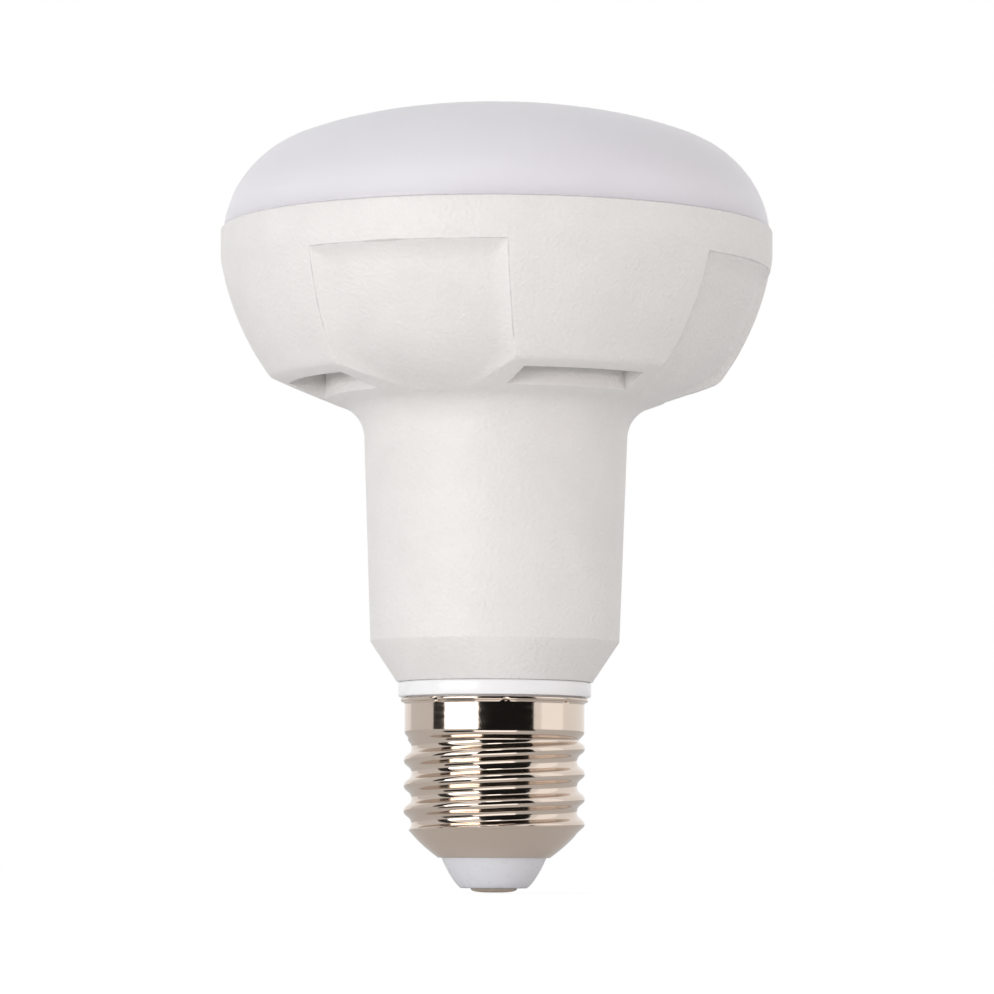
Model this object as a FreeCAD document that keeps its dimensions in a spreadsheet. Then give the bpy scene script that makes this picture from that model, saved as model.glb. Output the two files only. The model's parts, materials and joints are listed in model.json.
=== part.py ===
import FreeCAD, Part
import math
import os
import Sketcher
from FreeCAD import Placement, Rotation, Vector

# Reflector lamp with an 80 mm head on an E27 screw cap, in millimetres.
# The axis of the lamp is Z. The tip of the centre contact is at the origin and the dome points up.
# The four hoods with their vents lie on the X and Y axes, and the four recessed panels between them.

SIZES = {
    # Housing: one moulding with a neck, a flat-coned shoulder and a round bowl.
    # Its heights are measured up from its base, and its base from the contact's tip.
    "base_height": 30.2,
    "base_radius": 14.2,
    "base_floor": 2.0,
    "rim_radius": 40.0,
    "rim_rise": 65.4,
    "rim_wall": 2.0,
    "bowl_bulge": 0.5,
    "bowl_centre_rise": 67.7,
    "bowl_wall": 2.8,
    "crease_inset": 7.4,
    "shoulder_slope": 20.1,
    "neck_top_radius": 19.15,
    "neck_foot_radius": 17.95,
    "neck_foot_rise": 5.8,
    "neck_fillet": 5.0,
    "neck_fillet_steps": 3,
    "neck_wall": 1.75,
    "throat_radius": 12.6,
    "sleeve_seat_rise": 6.3,
    "sleeve_seat_bore": 13.9,
    "ledge_width": 1.6,
    "ledge_rise": 60.8,
    # Recessed panels between the hoods
    "panel_top_rise": 59.4,
    "panel_half_angle": 21.41,
    "panel_depth": 1.1,
    "panel_foot_inset": 8.8,
    "panel_lead": 1.8,
    "panel_slope": 25.0,
    "panel_corner": 8.0,
    "panel_blend": 16.0,
    "panel_cove": 4.4,
    "vent_web": 2.8,
    # Blind vents in the shoulder, one under each hood
    "hood_count": 4,
    "vent_margin": 2.5,
    "vent_length": 5.45,
    "vent_half_angle": 22.165,
    "vent_ceiling_rise": 51.8,
    "vent_wall": 1.5,
    "post_radius": 3.2,
    "pilot_radius": 1.5,
    "over_cut": 1.0,
    # Diffuser dome
    "dome_step": 0.42,
    "dome_lean_angle": 6.4,
    "dome_side_arc": 15.9,
    "dome_side_angle": 71.83,
    "dome_side_steps": 5,
    "dome_crown_steps": 2,
    "dome_inner_steps": 3,
    "dome_wall": 1.6,
    "dome_skirt_wall": 1.5,
    "dome_skirt_length": 2.7,
    "dome_fit": 0.1,
    # Light engine
    "spreader_thickness": 1.5,
    "board_thickness": 1.2,
    "board_inset": 8.0,
    "lead_hole_radius": 3.5,
    "inner_chip_circle": 13.5,
    "outer_chip_inset": 3.4,
    "inner_chip_count": 6,
    "outer_chip_count": 12,
    "chip_length": 3.5,
    "chip_width": 2.8,
    "chip_height": 0.7,
    "chip_turn_angle": 15.0,
    "screw_radius": 1.45,
    "screw_length": 8.0,
    "screw_head_radius": 2.8,
    "screw_head_height": 1.8,
    "connector_length": 7.0,
    "connector_width": 6.0,
    "connector_height": 2.8,
    "connector_start": 4.3,
    # Driver sleeve and circuit board
    "fit_gap": 0.2,
    "sleeve_wall": 1.2,
    "sleeve_top_rise": 38.8,
    "sleeve_floor": 1.5,
    "sleeve_floor_bore": 12.6,
    "rib_thickness": 1.2,
    "rib_depth": 1.8,
    "rib_gap": 0.1,
    "rib_pairs": 2,
    "driver_thickness": 1.6,
    "driver_half_width": 14.3,
    "driver_top_rise": 37.8,
    "tongue_half_width": 7.8,
    "tongue_drop": 6.2,
    # Transformer on the board's rear face
    "core_rise": 23.8,
    "core_height": 13.0,
    "core_half_width": 8.0,
    "core_depth": 7.0,
    "core_stand": 2.0,
    "core_limb": 2.5,
    "window_inner": 2.8,
    "window_outer": 5.8,
    "bobbin_half_width": 5.6,
    "bobbin_gap": 0.1,
    # Other parts on the rear face
    "input_radius": 5.0,
    "input_across": -5.2,
    "input_rise": 9.8,
    "input_height": 13.0,
    "output_radius": 4.0,
    "output_across": 5.5,
    "output_rise": 10.3,
    "output_height": 11.5,
    "varistor_radius": 4.0,
    "varistor_thickness": 3.0,
    "varistor_across": -2.0,
    "varistor_rise": 0.8,
    # Parts on the board's front face
    "rectifier_left": -9.0,
    "rectifier_rise": 10.8,
    "rectifier_width": 6.5,
    "rectifier_height": 5.0,
    "rectifier_depth": 3.0,
    "controller_left": 0.5,
    "controller_rise": 17.8,
    "controller_width": 5.0,
    "controller_depth": 1.6,
    "choke_radius": 4.5,
    "choke_depth": 9.0,
    "choke_across": 5.0,
    "choke_rise": 30.8,
    "film_left": -10.0,
    "film_rise": 27.8,
    "film_width": 9.0,
    "film_depth": 5.5,
    "fuse_radius": 1.8,
    "fuse_across": 4.5,
    "fuse_drop": 2.7,
    "fuse_height": 8.0,
    # Screw cap: E27, its rolled thread kept to the plain wall between root and crest
    "cap_wall": 0.35,
    "cap_opening": 8.1,
    "cap_foot": 5.0,
    "cap_slope": 42.5,
    "thread_root": 11.95,
    "band_radius": 13.06,
    "band_length": 4.0,
    "flare_radius": 13.5,
    "flare_length": 1.1,
    "flare_cone": 0.4,
    # Collar that carries the cap and snaps into the housing
    "collar_height": 2.2,
    "collar_radius": 13.9,
    "spigot_bottom": 13.0,
    "spigot_bore": 9.9,
    "collar_neck_radius": 12.4,
    "hook_radius": 13.2,
    "hook_play": 0.15,
    "hook_height": 2.25,
    "hook_slot": 2.4,
    "hook_slot_count": 4,
    "wire_groove_width": 1.0,
    "wire_groove_depth": 0.8,
    # Insulator and centre contact
    "contact_radius": 3.7,
    "contact_flat": 2.8,
    "contact_edge": 0.35,
    "contact_thickness": 0.6,
    "shank_radius": 1.5,
    "shank_top": 6.4,
    "insulator_nose_radius": 4.6,
    "insulator_foot_radius": 7.6,
    "insulator_lip_radius": 9.2,
    "insulator_top": 7.9,
    "insulator_floor": 3.0,
    "insulator_floor_radius": 5.0,
    # Leads
    "lead_radius": 0.65,
    "lead_across": 1.0,
    "lead_rise": 35.3,
    "wire_radius": 0.3,
    "wire_drop": 0.4,
    "neutral_across": -6.5,
    "neutral_margin": 2.9,
}

doc = FreeCAD.newDocument("reflector_lamp")
sheet = doc.addObject("Spreadsheet::Sheet", "Sizes")
for row, (alias, value) in enumerate(SIZES.items(), start=1):
    sheet.set(f"A{row}", alias)
    sheet.set(f"B{row}", str(value))
    sheet.setAlias(f"B{row}", alias)
doc.recompute()

finished = []


def worked(expression):
    """Number that an expression on the sheet's sizes comes to."""
    return float(sheet.evalExpression(str(expression).replace("Sizes.", "")))


def new_body(name):
    """Empty body that becomes one piece, or one cutting tool."""
    body = doc.addObject("PartDesign::Body", name)
    body.Label = name
    return body


def keep(piece, name):
    """Give a finished piece its node name and put it on the list to be written."""
    piece.Label = name
    finished.append(piece)
    return piece


def origin_plane(body, role):
    for feature in body.Origin.OriginFeatures:
        if feature.Role == role:
            return feature
    raise RuntimeError(f"{body.Label} has no {role}")


def outline(body, name, plane, corners, lift=None, turned=0, shift=None, closed=True):
    """Sketch an outline or an open path whose corners are bound to the sheet.

    A corner is (across, up) as expressions. A third value is the radius of an arc that leaves the
    corner, and a fourth is 1 where the arc's centre is left of the way of travel, or -1 for right.
    """
    sketch = body.newObject("Sketcher::SketchObject", name)
    sketch.AttachmentSupport = [(origin_plane(body, plane), "")]
    sketch.MapMode = "FlatFace"
    sketch.AttachmentOffset = Placement(Vector(0, 0, 0), Rotation(Vector(0, 0, 1), turned))
    if lift is not None:
        sketch.setExpression("AttachmentOffset.Base.z", lift)
    if shift is not None:
        sketch.setExpression("AttachmentOffset.Base.x", shift)
    points = [Vector(worked(corner[0]), worked(corner[1]), 0) for corner in corners]
    count = len(corners)
    starts = []
    ends = []
    for index, corner in enumerate(corners if closed else corners[:-1]):
        start = points[index]
        end = points[(index + 1) % count]
        if len(corner) == 2:
            edge = sketch.addGeometry(Part.LineSegment(start, end), False)
        else:
            edge = sketch.addGeometry(arc_between(start, end, worked(corner[2]), corner[3]), False)
        forward = sketch.getPoint(edge, 1).distanceToPoint(start) < 1e-6
        starts.append((edge, 1 if forward else 2))
        ends.append((edge, 2 if forward else 1))
    if not closed:
        starts.append(ends[-1])
    for index, corner in enumerate(corners):
        if closed or index < count - 2:
            following = starts[(index + 1) % count]
            sketch.addConstraint(Sketcher.Constraint("Coincident", *ends[index], *following))
        bind_corner(sketch, starts[index], corner[0], "DistanceX", -2)
        bind_corner(sketch, starts[index], corner[1], "DistanceY", -1)
        if len(corner) > 2:
            edge = starts[index][0]
            number = sketch.addConstraint(Sketcher.Constraint("Radius", edge, worked(corner[2])))
            sketch.setExpression(f"Constraints[{number}]", corner[2])
    sketch.Visibility = False
    return sketch


def bind_corner(sketch, point, expression, kind, axis):
    """Hold one coordinate of a sketch point, on the axis itself where it is nought."""
    if expression == "0":
        sketch.addConstraint(Sketcher.Constraint("PointOnObject", *point, axis))
        return
    number = sketch.addConstraint(Sketcher.Constraint(kind, -1, 1, *point, worked(expression)))
    sketch.setExpression(f"Constraints[{number}]", expression)


def arc_between(start, end, radius, side):
    """Shorter arc of a radius between two points, its centre left (1) or right (-1) of the way."""
    chord = end - start
    half = chord.Length / 2
    left = Vector(-chord.y, chord.x, 0).normalize()
    rise = radius - math.sqrt(radius * radius - half * half)
    return Part.Arc(start, (start + end) * 0.5 - left * side * rise, end)


def turned_solid(body, name, corners, cut=False, shift=None):
    """Turn an outline about Z, or about an upright line shifted along X, as material or a cut."""
    sketch = outline(body, name + "_outline", "XZ_Plane", corners, shift=shift)
    feature = body.newObject("PartDesign::Groove" if cut else "PartDesign::Revolution", name)
    feature.Profile = sketch
    feature.ReferenceAxis = (sketch, ["V_Axis"])
    feature.Angle = 360
    return feature


def raised_plan(body, name, corners, bottom, top, cut=False, turned=0, plane="XY_Plane"):
    """Pad or pocket an outline between two distances from a plane."""
    sketch = outline(body, name + "_outline", plane, corners, lift=bottom, turned=turned)
    feature = body.newObject("PartDesign::Pocket" if cut else "PartDesign::Pad", name)
    feature.Profile = sketch
    feature.setExpression("Length", f"({top}) - ({bottom})")
    feature.Reversed = cut
    return feature


def round_pocket(body, name, across, radius, bottom, top, core=None):
    """Pocket a round or ring-shaped area centred on the X axis, between two heights."""
    sketch = body.newObject("Sketcher::SketchObject", name + "_outline")
    sketch.AttachmentSupport = [(origin_plane(body, "XY_Plane"), "")]
    sketch.MapMode = "FlatFace"
    sketch.setExpression("AttachmentOffset.Base.z", bottom)
    for size in [radius] if core is None else [radius, core]:
        centre = Vector(worked(across), 0, 0)
        circle = sketch.addGeometry(Part.Circle(centre, Vector(0, 0, 1), worked(size)), False)
        bind_corner(sketch, (circle, 3), across, "DistanceX", -2)
        sketch.addConstraint(Sketcher.Constraint("PointOnObject", circle, 3, -1))
        number = sketch.addConstraint(Sketcher.Constraint("Radius", circle, worked(size)))
        sketch.setExpression(f"Constraints[{number}]", size)
    sketch.Visibility = False
    feature = body.newObject("PartDesign::Pocket", name)
    feature.Profile = sketch
    feature.setExpression("Length", f"({top}) - ({bottom})")
    feature.Reversed = True
    return feature


def block(body, name, low, high, cut=False):
    """Box between two corners, as material or a cut."""
    kind = "PartDesign::SubtractiveBox" if cut else "PartDesign::AdditiveBox"
    feature = body.newObject(kind, name)
    for size, axis, near, far in zip(("Length", "Width", "Height"), "xyz", low, high):
        feature.setExpression(size, f"({far}) - ({near})")
        feature.setExpression(f"Placement.Base.{axis}", near)
    return feature


def drum(body, name, foot, radius, length, direction=Vector(0, 0, 1), cut=False):
    """Cylinder that rises from the centre of its foot, as material or a cut."""
    kind = "PartDesign::SubtractiveCylinder" if cut else "PartDesign::AdditiveCylinder"
    feature = body.newObject(kind, name)
    feature.Placement = Placement(Vector(0, 0, 0), Rotation(Vector(0, 0, 1), direction))
    feature.setExpression("Radius", radius)
    feature.setExpression("Height", length)
    for axis, value in zip("xyz", foot):
        feature.setExpression(f"Placement.Base.{axis}", value)
    return feature


def wire(name, plane, lift, start, corners, radius):
    """Round wire along an open path of straight runs, from its start as seen from above."""
    body = new_body(name)
    path = outline(body, name + "_path", plane, corners, lift=lift, closed=False)
    end = body.newObject("Sketcher::SketchObject", name + "_end")
    end.AttachmentSupport = [(origin_plane(body, "XY_Plane"), "")]
    end.MapMode = "FlatFace"
    end.setExpression("AttachmentOffset.Base.z", corners[0][1])
    centre = Vector(worked(start[0]), worked(start[1]), 0)
    circle = end.addGeometry(Part.Circle(centre, Vector(0, 0, 1), worked(radius)), False)
    bind_corner(end, (circle, 3), start[0], "DistanceX", -2)
    bind_corner(end, (circle, 3), start[1], "DistanceY", -1)
    number = end.addConstraint(Sketcher.Constraint("Radius", circle, worked(radius)))
    end.setExpression(f"Constraints[{number}]", radius)
    end.Visibility = False
    pipe = body.newObject("PartDesign::AdditivePipe", name + "_run")
    pipe.Profile = end
    pipe.Spine = (path, [f"Edge{number + 1}" for number in range(len(corners) - 1)])
    pipe.Transition = "Right corner"
    return keep(body, name)


def around(body, name, originals, count, whole=False):
    """Repeat features evenly round Z, or the whole body where they are dressed edges."""
    pattern = body.newObject("PartDesign::PolarPattern", name)
    if whole:
        pattern.TransformMode = "Whole shape"
    else:
        pattern.Originals = originals
    pattern.Axis = (origin_plane(body, "Z_Axis"), [""])
    pattern.Angle = 360
    pattern.setExpression("Occurrences", count)
    body.Tip = pattern
    return pattern


def edges_where(shape, wanted):
    """Names of the edges whose middle point passes a test."""
    names = []
    for number, edge in enumerate(shape.Edges, start=1):
        first, last = edge.ParameterRange
        if wanted(edge, edge.valueAt((first + last) / 2)):
            names.append(f"Edge{number}")
    return names


def fillet(body, name, base, radius, wanted):
    """Round the edges of a feature that pass a test."""
    doc.recompute()
    names = edges_where(base.Shape, wanted)
    if not names:
        raise RuntimeError(f"{name} found no edge")
    feature = body.newObject("PartDesign::Fillet", name)
    feature.Base = (base, names)
    feature.setExpression("Radius", radius)
    return feature


def ring_edge(radius, height):
    """Test for a circle round Z at a radius and height."""
    def wanted(edge, middle):
        return (abs(math.hypot(middle.x, middle.y) - worked(radius)) < 0.01
                and abs(middle.z - worked(height)) < 0.01)
    return wanted


def subtract(body, name, tools):
    """Cut other bodies out of a body."""
    boolean = body.newObject("PartDesign::Boolean", name)
    boolean.Type = "Cut"
    boolean.Group = tools
    body.Tip = boolean
    return boolean


# Expressions that several pieces share

def above_base(size):
    """Height of a size that is measured up from the housing's base."""
    return f"(Sizes.base_height + Sizes.{size})"


RIM_TOP = above_base("rim_rise")
RIM_BORE = "(Sizes.rim_radius - Sizes.rim_wall)"
DOME_FOOT = "(Sizes.rim_radius - Sizes.dome_step)"
LEDGE_TOP = above_base("ledge_rise")
LEDGE_RADIUS = f"({RIM_BORE} - Sizes.ledge_width)"
BOWL = "(Sizes.rim_radius + Sizes.bowl_bulge)"
BOWL_CENTRE = above_base("bowl_centre_rise")
CREASE = "(Sizes.rim_radius - Sizes.crease_inset)"
NECK_FOOT = above_base("neck_foot_rise")
PANEL_TOP = above_base("panel_top_rise")
PANEL_HALF = "(Sizes.rim_radius * sin(Sizes.panel_half_angle))"
PANEL_FOOT_RADIUS = f"({CREASE} - Sizes.panel_foot_inset)"
VENT_OUTER = f"({CREASE} - Sizes.vent_margin)"
VENT_INNER = f"({VENT_OUTER} - Sizes.vent_length)"
VENT_HALF = f"({VENT_INNER} * sin(Sizes.vent_half_angle))"
VENT_CEILING = above_base("vent_ceiling_rise")
BOSS_TOP = f"({VENT_CEILING} + Sizes.vent_wall)"
POST_CIRCLE = f"({VENT_INNER} + Sizes.vent_length / 2)"
SPREADER_TOP = f"({LEDGE_TOP} + Sizes.spreader_thickness)"
BOARD_TOP = f"({SPREADER_TOP} + Sizes.board_thickness)"
NECK_BORE = "(Sizes.neck_foot_radius - Sizes.neck_wall)"
SLEEVE_SEAT = above_base("sleeve_seat_rise")
SLEEVE_TOP = above_base("sleeve_top_rise")
SLEEVE_RADIUS = f"({NECK_BORE} - Sizes.fit_gap)"
SLEEVE_BORE = f"({SLEEVE_RADIUS} - Sizes.sleeve_wall)"
DRIVER_SEAT = f"({SLEEVE_SEAT} + Sizes.sleeve_floor)"
DRIVER_FACE = "(Sizes.driver_thickness / 2)"
COLLAR_BOTTOM = "(Sizes.base_height - Sizes.collar_height)"
BAND_TOP = f"({COLLAR_BOTTOM} - Sizes.flare_length)"
BAND_BOTTOM = f"({BAND_TOP} - Sizes.band_length)"
NEUTRAL_END = f"({BAND_BOTTOM} - Sizes.neutral_margin)"


def sphere_height(radius, inset="0"):
    """Height of the bowl's sphere at a radius from the axis, inset inside its skin."""
    return f"{BOWL_CENTRE} - sqrt(({BOWL} - ({inset}))^2 - ({radius})^2)"


def sphere_radius(height, inset="0"):
    """Radius of the bowl's sphere at a height, inset inside its skin."""
    return f"sqrt(({BOWL} - ({inset}))^2 - ({BOWL_CENTRE} - ({height}))^2)"


CREASE_HEIGHT = sphere_height(CREASE)


def shoulder_height(radius):
    """Height of the shoulder's cone at a radius."""
    return f"{CREASE_HEIGHT} - ({CREASE} - ({radius})) * tan(Sizes.shoulder_slope)"


PANEL_FOOT = shoulder_height(PANEL_FOOT_RADIUS)


def floor_line(radius, wall="0"):
    """Height of the panel's sloping foot at a radius, a wall further inside."""
    rise = f"({radius} - {PANEL_FOOT_RADIUS}) * tan(Sizes.panel_slope)"
    return f"{PANEL_FOOT} + {rise} + ({wall}) / cos(Sizes.panel_slope)"


def floor_corner(wall="0"):
    """Radius where the panel's sloping foot meets its round floor, each a wall further inside.

    The line passes the sphere's centre at a height, and half its chord is by Pythagoras.
    """
    height = f"({BOWL_CENTRE} - ({floor_line('0', wall)}))"
    reach = f"({BOWL} - Sizes.panel_depth - ({wall}))"
    half_chord = f"sqrt({reach}^2 - ({height} * cos(Sizes.panel_slope))^2)"
    return f"(({height} * sin(Sizes.panel_slope) + {half_chord}) * cos(Sizes.panel_slope))"


# Housing

def vent_plan(grown="0"):
    """Plan of a vent on the X axis: two arcs about the lamp's axis and two straight sides."""
    inner = f"{VENT_INNER} - ({grown})"
    outer = f"{VENT_OUTER} + ({grown})"
    half = f"{VENT_HALF} + ({grown})"
    near = f"sqrt(({inner})^2 - ({half})^2)"
    far = f"sqrt(({outer})^2 - ({half})^2)"
    return [
        (near, f"-({half})"),
        (far, f"-({half})", outer, 1),
        (far, half),
        (near, half, inner, -1),
    ]


def make_vent_cutter():
    body = new_body("vent_cutter")
    vent = raised_plan(body, "vent", vent_plan(), NECK_FOOT, VENT_CEILING)
    around(body, "vents", [vent], "Sizes.hood_count")
    return body


def make_panel_cutter():
    """Cutter for a recessed panel: a straight-sided prism less the recess's round floor.

    The cutter's inner edges are rounded, which leaves a cove round each panel. The prism is wider
    than the panel by what the cove takes off where it comes up through the skin.
    """
    body = new_body("panel_cutter")
    cove = "Sizes.panel_cove"
    growth = f"({cove} - sqrt({cove}^2 - ({cove} - Sizes.panel_depth)^2))"
    half = f"({PANEL_HALF} + {growth})"
    root = f"({PANEL_FOOT_RADIUS} - Sizes.panel_lead)"
    reach = f"({BOWL} + 2 * Sizes.panel_cove)"
    slant = f"(({VENT_HALF} + Sizes.vent_web - {growth}) * sqrt(2))"
    corner = f"{half} + {slant}"
    prism = raised_plan(body, "panel_prism", [
        (root, f"-({root} - {slant})"),
        (corner, f"-{half}"),
        (reach, f"-{half}"),
        (reach, half),
        (corner, half),
        (root, f"{root} - {slant}"),
    ], NECK_FOOT, f"{PANEL_TOP} + {growth}", turned=45)

    def upright_corner(edge, middle):
        level = abs(edge.Vertexes[0].Point.z - edge.Vertexes[-1].Point.z) < 1e-6
        return not level and abs(math.hypot(middle.x, middle.y) - corner_radius) < 0.01

    corner_radius = math.hypot(worked(corner), worked(half))
    fillet(body, "panel_corners", prism, "Sizes.panel_corner", upright_corner)
    meeting = floor_corner()
    above = f"{PANEL_TOP} + Sizes.panel_cove"
    inside = f"({root} - Sizes.over_cut)"
    recess = turned_solid(body, "panel_floor", [
        ("0", "Sizes.base_height"),
        (inside, "Sizes.base_height"),
        (inside, floor_line(inside)),
        (meeting, floor_line(meeting), f"{BOWL} - Sizes.panel_depth", 1),
        (sphere_radius(above, "Sizes.panel_depth"), above),
        ("0", above),
    ], cut=True)
    crease = fillet(body, "floor_blend", recess, "Sizes.panel_blend",
                    ring_edge(meeting, floor_line(meeting)))
    doc.recompute()
    tall = worked(PANEL_TOP) - worked(NECK_FOOT)
    floors = [face for face in crease.Shape.Faces if face.Surface.TypeId != "Part::GeomPlane"
              and face.BoundBox.ZLength < tall]

    def on_floor(edge, middle):
        """True for an edge with the recess's floor on one side only."""
        beside = [face for face in floors if any(edge.isSame(other) for other in face.Edges)]
        foot = min(vertex.Point.z for vertex in edge.Vertexes) < worked(PANEL_FOOT)
        return len(beside) == 1 and not (foot and is_level(edge))

    fillet(body, "panel_coves", crease, "Sizes.panel_cove", on_floor)
    doc.recompute()
    around(body, "panels", [], "Sizes.hood_count", whole=True)
    return body


def is_level(edge):
    ends = [vertex.Point.z for vertex in edge.Vertexes]
    return max(ends) - min(ends) < 1e-4


def make_cavity():
    """Inside of the housing, less the walls of the vents and the screw posts on them."""
    body = new_body("cavity")
    wall = "Sizes.bowl_wall - Sizes.panel_depth"
    meeting = floor_corner(wall)
    middle = f"({meeting} + {LEDGE_RADIUS}) / 2"
    below = "Sizes.base_height - Sizes.over_cut"
    above = f"{RIM_TOP} + Sizes.over_cut"
    turned_solid(body, "hollow", [
        ("0", below),
        ("Sizes.throat_radius", below),
        ("Sizes.throat_radius", "Sizes.base_height + Sizes.base_floor"),
        ("Sizes.sleeve_seat_bore", "Sizes.base_height + Sizes.base_floor"),
        ("Sizes.sleeve_seat_bore", SLEEVE_SEAT),
        (NECK_BORE, SLEEVE_SEAT),
        (NECK_BORE, floor_line(NECK_BORE, wall)),
        (meeting, floor_line(meeting, wall)),
        (middle, sphere_height(middle, "Sizes.bowl_wall")),
        (LEDGE_RADIUS, sphere_height(LEDGE_RADIUS, "Sizes.bowl_wall")),
        (LEDGE_RADIUS, LEDGE_TOP),
        (RIM_BORE, LEDGE_TOP),
        (RIM_BORE, above),
        ("0", above),
    ])
    boss = raised_plan(body, "vent_boss", vent_plan("Sizes.vent_wall"), NECK_FOOT, BOSS_TOP, cut=True)
    post = round_pocket(body, "screw_post", POST_CIRCLE, "Sizes.post_radius",
                        BOSS_TOP, LEDGE_TOP, core="Sizes.pilot_radius")
    around(body, "bosses", [boss, post], "Sizes.hood_count")
    return body


def make_housing():
    body = new_body("housing")
    top = shoulder_height("Sizes.neck_top_radius")
    lean = f"atan((Sizes.neck_top_radius - Sizes.neck_foot_radius) / ({top} - {NECK_FOOT}))"
    turn = f"(90 deg - {lean} - Sizes.shoulder_slope * 1 deg)"
    reach = f"Sizes.neck_fillet * tan({turn} / 2)"
    start = f"Sizes.neck_top_radius - {reach} * sin({lean})", f"{top} - {reach} * cos({lean})"
    bend = []
    for step in range(int(worked("Sizes.neck_fillet_steps")) + 1):
        bent = f"({lean} + {turn} * {step} / Sizes.neck_fillet_steps)"
        bend.append((f"{start[0]} + Sizes.neck_fillet * (cos({lean}) - cos({bent}))",
                     f"{start[1]} + Sizes.neck_fillet * (sin({bent}) - sin({lean}))"))
    turned_solid(body, "skin", [
        ("0", "Sizes.base_height"),
        ("Sizes.base_radius", "Sizes.base_height"),
        ("Sizes.neck_foot_radius", NECK_FOOT),
        *bend,
        (CREASE, CREASE_HEIGHT, BOWL, 1),
        ("Sizes.rim_radius", sphere_height("Sizes.rim_radius")),
        ("Sizes.rim_radius", RIM_TOP),
        ("0", RIM_TOP),
    ])
    subtract(body, "hollowed", [make_cavity(), make_panel_cutter(), make_vent_cutter()])
    return keep(body, "housing")


# Diffuser dome

def dome_point(angle, inset="0"):
    """Point of the dome's profile where it leans in by an angle, inset inside its skin."""
    centre_x = f"({DOME_FOOT} - Sizes.dome_side_arc * cos(Sizes.dome_lean_angle))"
    centre_z = f"({RIM_TOP} - Sizes.dome_side_arc * sin(Sizes.dome_lean_angle))"
    if worked(angle) <= worked("Sizes.dome_side_angle"):
        arc = f"(Sizes.dome_side_arc - ({inset}))"
        return f"{centre_x} + {arc} * cos({angle})", f"{centre_z} + {arc} * sin({angle})"
    end = "Sizes.dome_side_angle"
    crown = f"({centre_x} / cos({end}) + Sizes.dome_side_arc)"
    across = f"({crown} - ({inset})) * cos({angle})"
    return across, f"{centre_z} - {centre_x} * tan({end}) + ({crown} - ({inset})) * sin({angle})"


def dome_points(side_steps, crown_steps, inset="0"):
    """Points up the dome's profile in even turns, short of its middle."""
    start = "Sizes.dome_lean_angle"
    end = "Sizes.dome_side_angle"
    side = [f"{start} + ({end} - {start}) * {step} / ({side_steps})"
            for step in range(int(worked(side_steps)))]
    crown = [f"{end} + (90 - {end}) * {step} / ({crown_steps})"
             for step in range(int(worked(crown_steps)))]
    return [dome_point(angle, inset) for angle in side + crown]


def make_dome():
    """Moulded dome with a skirt inside the rim, its round profile in short straight runs."""
    body = new_body("diffuser_dome")
    wall = "Sizes.dome_wall"
    skirt_radius = f"{RIM_BORE} - Sizes.dome_fit"
    skirt_bore = f"{skirt_radius} - Sizes.dome_skirt_wall"
    skirt_bottom = f"{RIM_TOP} - Sizes.dome_skirt_length"
    inside = dome_points("Sizes.dome_inner_steps", "1", wall)
    turned_solid(body, "shell", [
        (skirt_bore, skirt_bottom),
        (skirt_radius, skirt_bottom),
        (skirt_radius, RIM_TOP),
        *dome_points("Sizes.dome_side_steps", "Sizes.dome_crown_steps"),
        ("0", dome_point("90")[1]),
        ("0", dome_point("90", wall)[1]),
        *reversed(inside[1:]),
    ])
    return keep(body, "diffuser_dome")


# Light engine

def make_disc(name, radius, bottom, top):
    """Round plate with a hole for the leads and one for each screw."""
    body = new_body(name)
    turned_solid(body, name + "_plate", [
        ("Sizes.lead_hole_radius", bottom),
        (radius, bottom),
        (radius, top),
        ("Sizes.lead_hole_radius", top),
    ])
    hole = drum(body, name + "_hole", (POST_CIRCLE, "0", bottom), "Sizes.pilot_radius",
                f"({top}) - ({bottom})", cut=True)
    around(body, name + "_holes", [hole], "Sizes.hood_count")
    return keep(body, name)


def make_chips():
    """Two rings of light-emitting chips on the board."""
    body = new_body("led_chips")
    outer_circle = f"({POST_CIRCLE} - Sizes.outer_chip_inset)"
    for name, circle, count in (("inner_chip", "Sizes.inner_chip_circle", "Sizes.inner_chip_count"),
                                ("outer_chip", outer_circle, "Sizes.outer_chip_count")):
        low = (f"{circle} - Sizes.chip_width / 2", "-Sizes.chip_length / 2", BOARD_TOP)
        high = (f"{circle} + Sizes.chip_width / 2", "Sizes.chip_length / 2",
                f"{BOARD_TOP} + Sizes.chip_height")
        chip = block(body, name, low, high)
        around(body, name + "s", [chip], count)
    turn = Rotation(Vector(0, 0, 1), worked("Sizes.chip_turn_angle"))
    body.Placement = Placement(Vector(0, 0, 0), turn)
    return keep(body, "led_chips")


def make_screws():
    """Four screws through the board and the heat spreader into the posts."""
    body = new_body("board_screws")
    shank = f"{BOARD_TOP} - Sizes.screw_length"
    head = f"{BOARD_TOP} + Sizes.screw_head_height"
    screw = turned_solid(body, "screw", [
        ("0", shank),
        ("Sizes.screw_radius", shank),
        ("Sizes.screw_radius", BOARD_TOP),
        ("Sizes.screw_head_radius", BOARD_TOP),
        ("Sizes.screw_head_radius", head),
        ("0", head),
    ], shift=POST_CIRCLE)
    around(body, "screws", [screw], "Sizes.hood_count")
    return keep(body, "board_screws")


def make_connector():
    body = new_body("lead_connector")
    block(body, "connector", ("Sizes.connector_start", "-Sizes.connector_width / 2", BOARD_TOP),
          ("Sizes.connector_start + Sizes.connector_length", "Sizes.connector_width / 2",
           f"{BOARD_TOP} + Sizes.connector_height"))
    return keep(body, "lead_connector")


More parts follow.
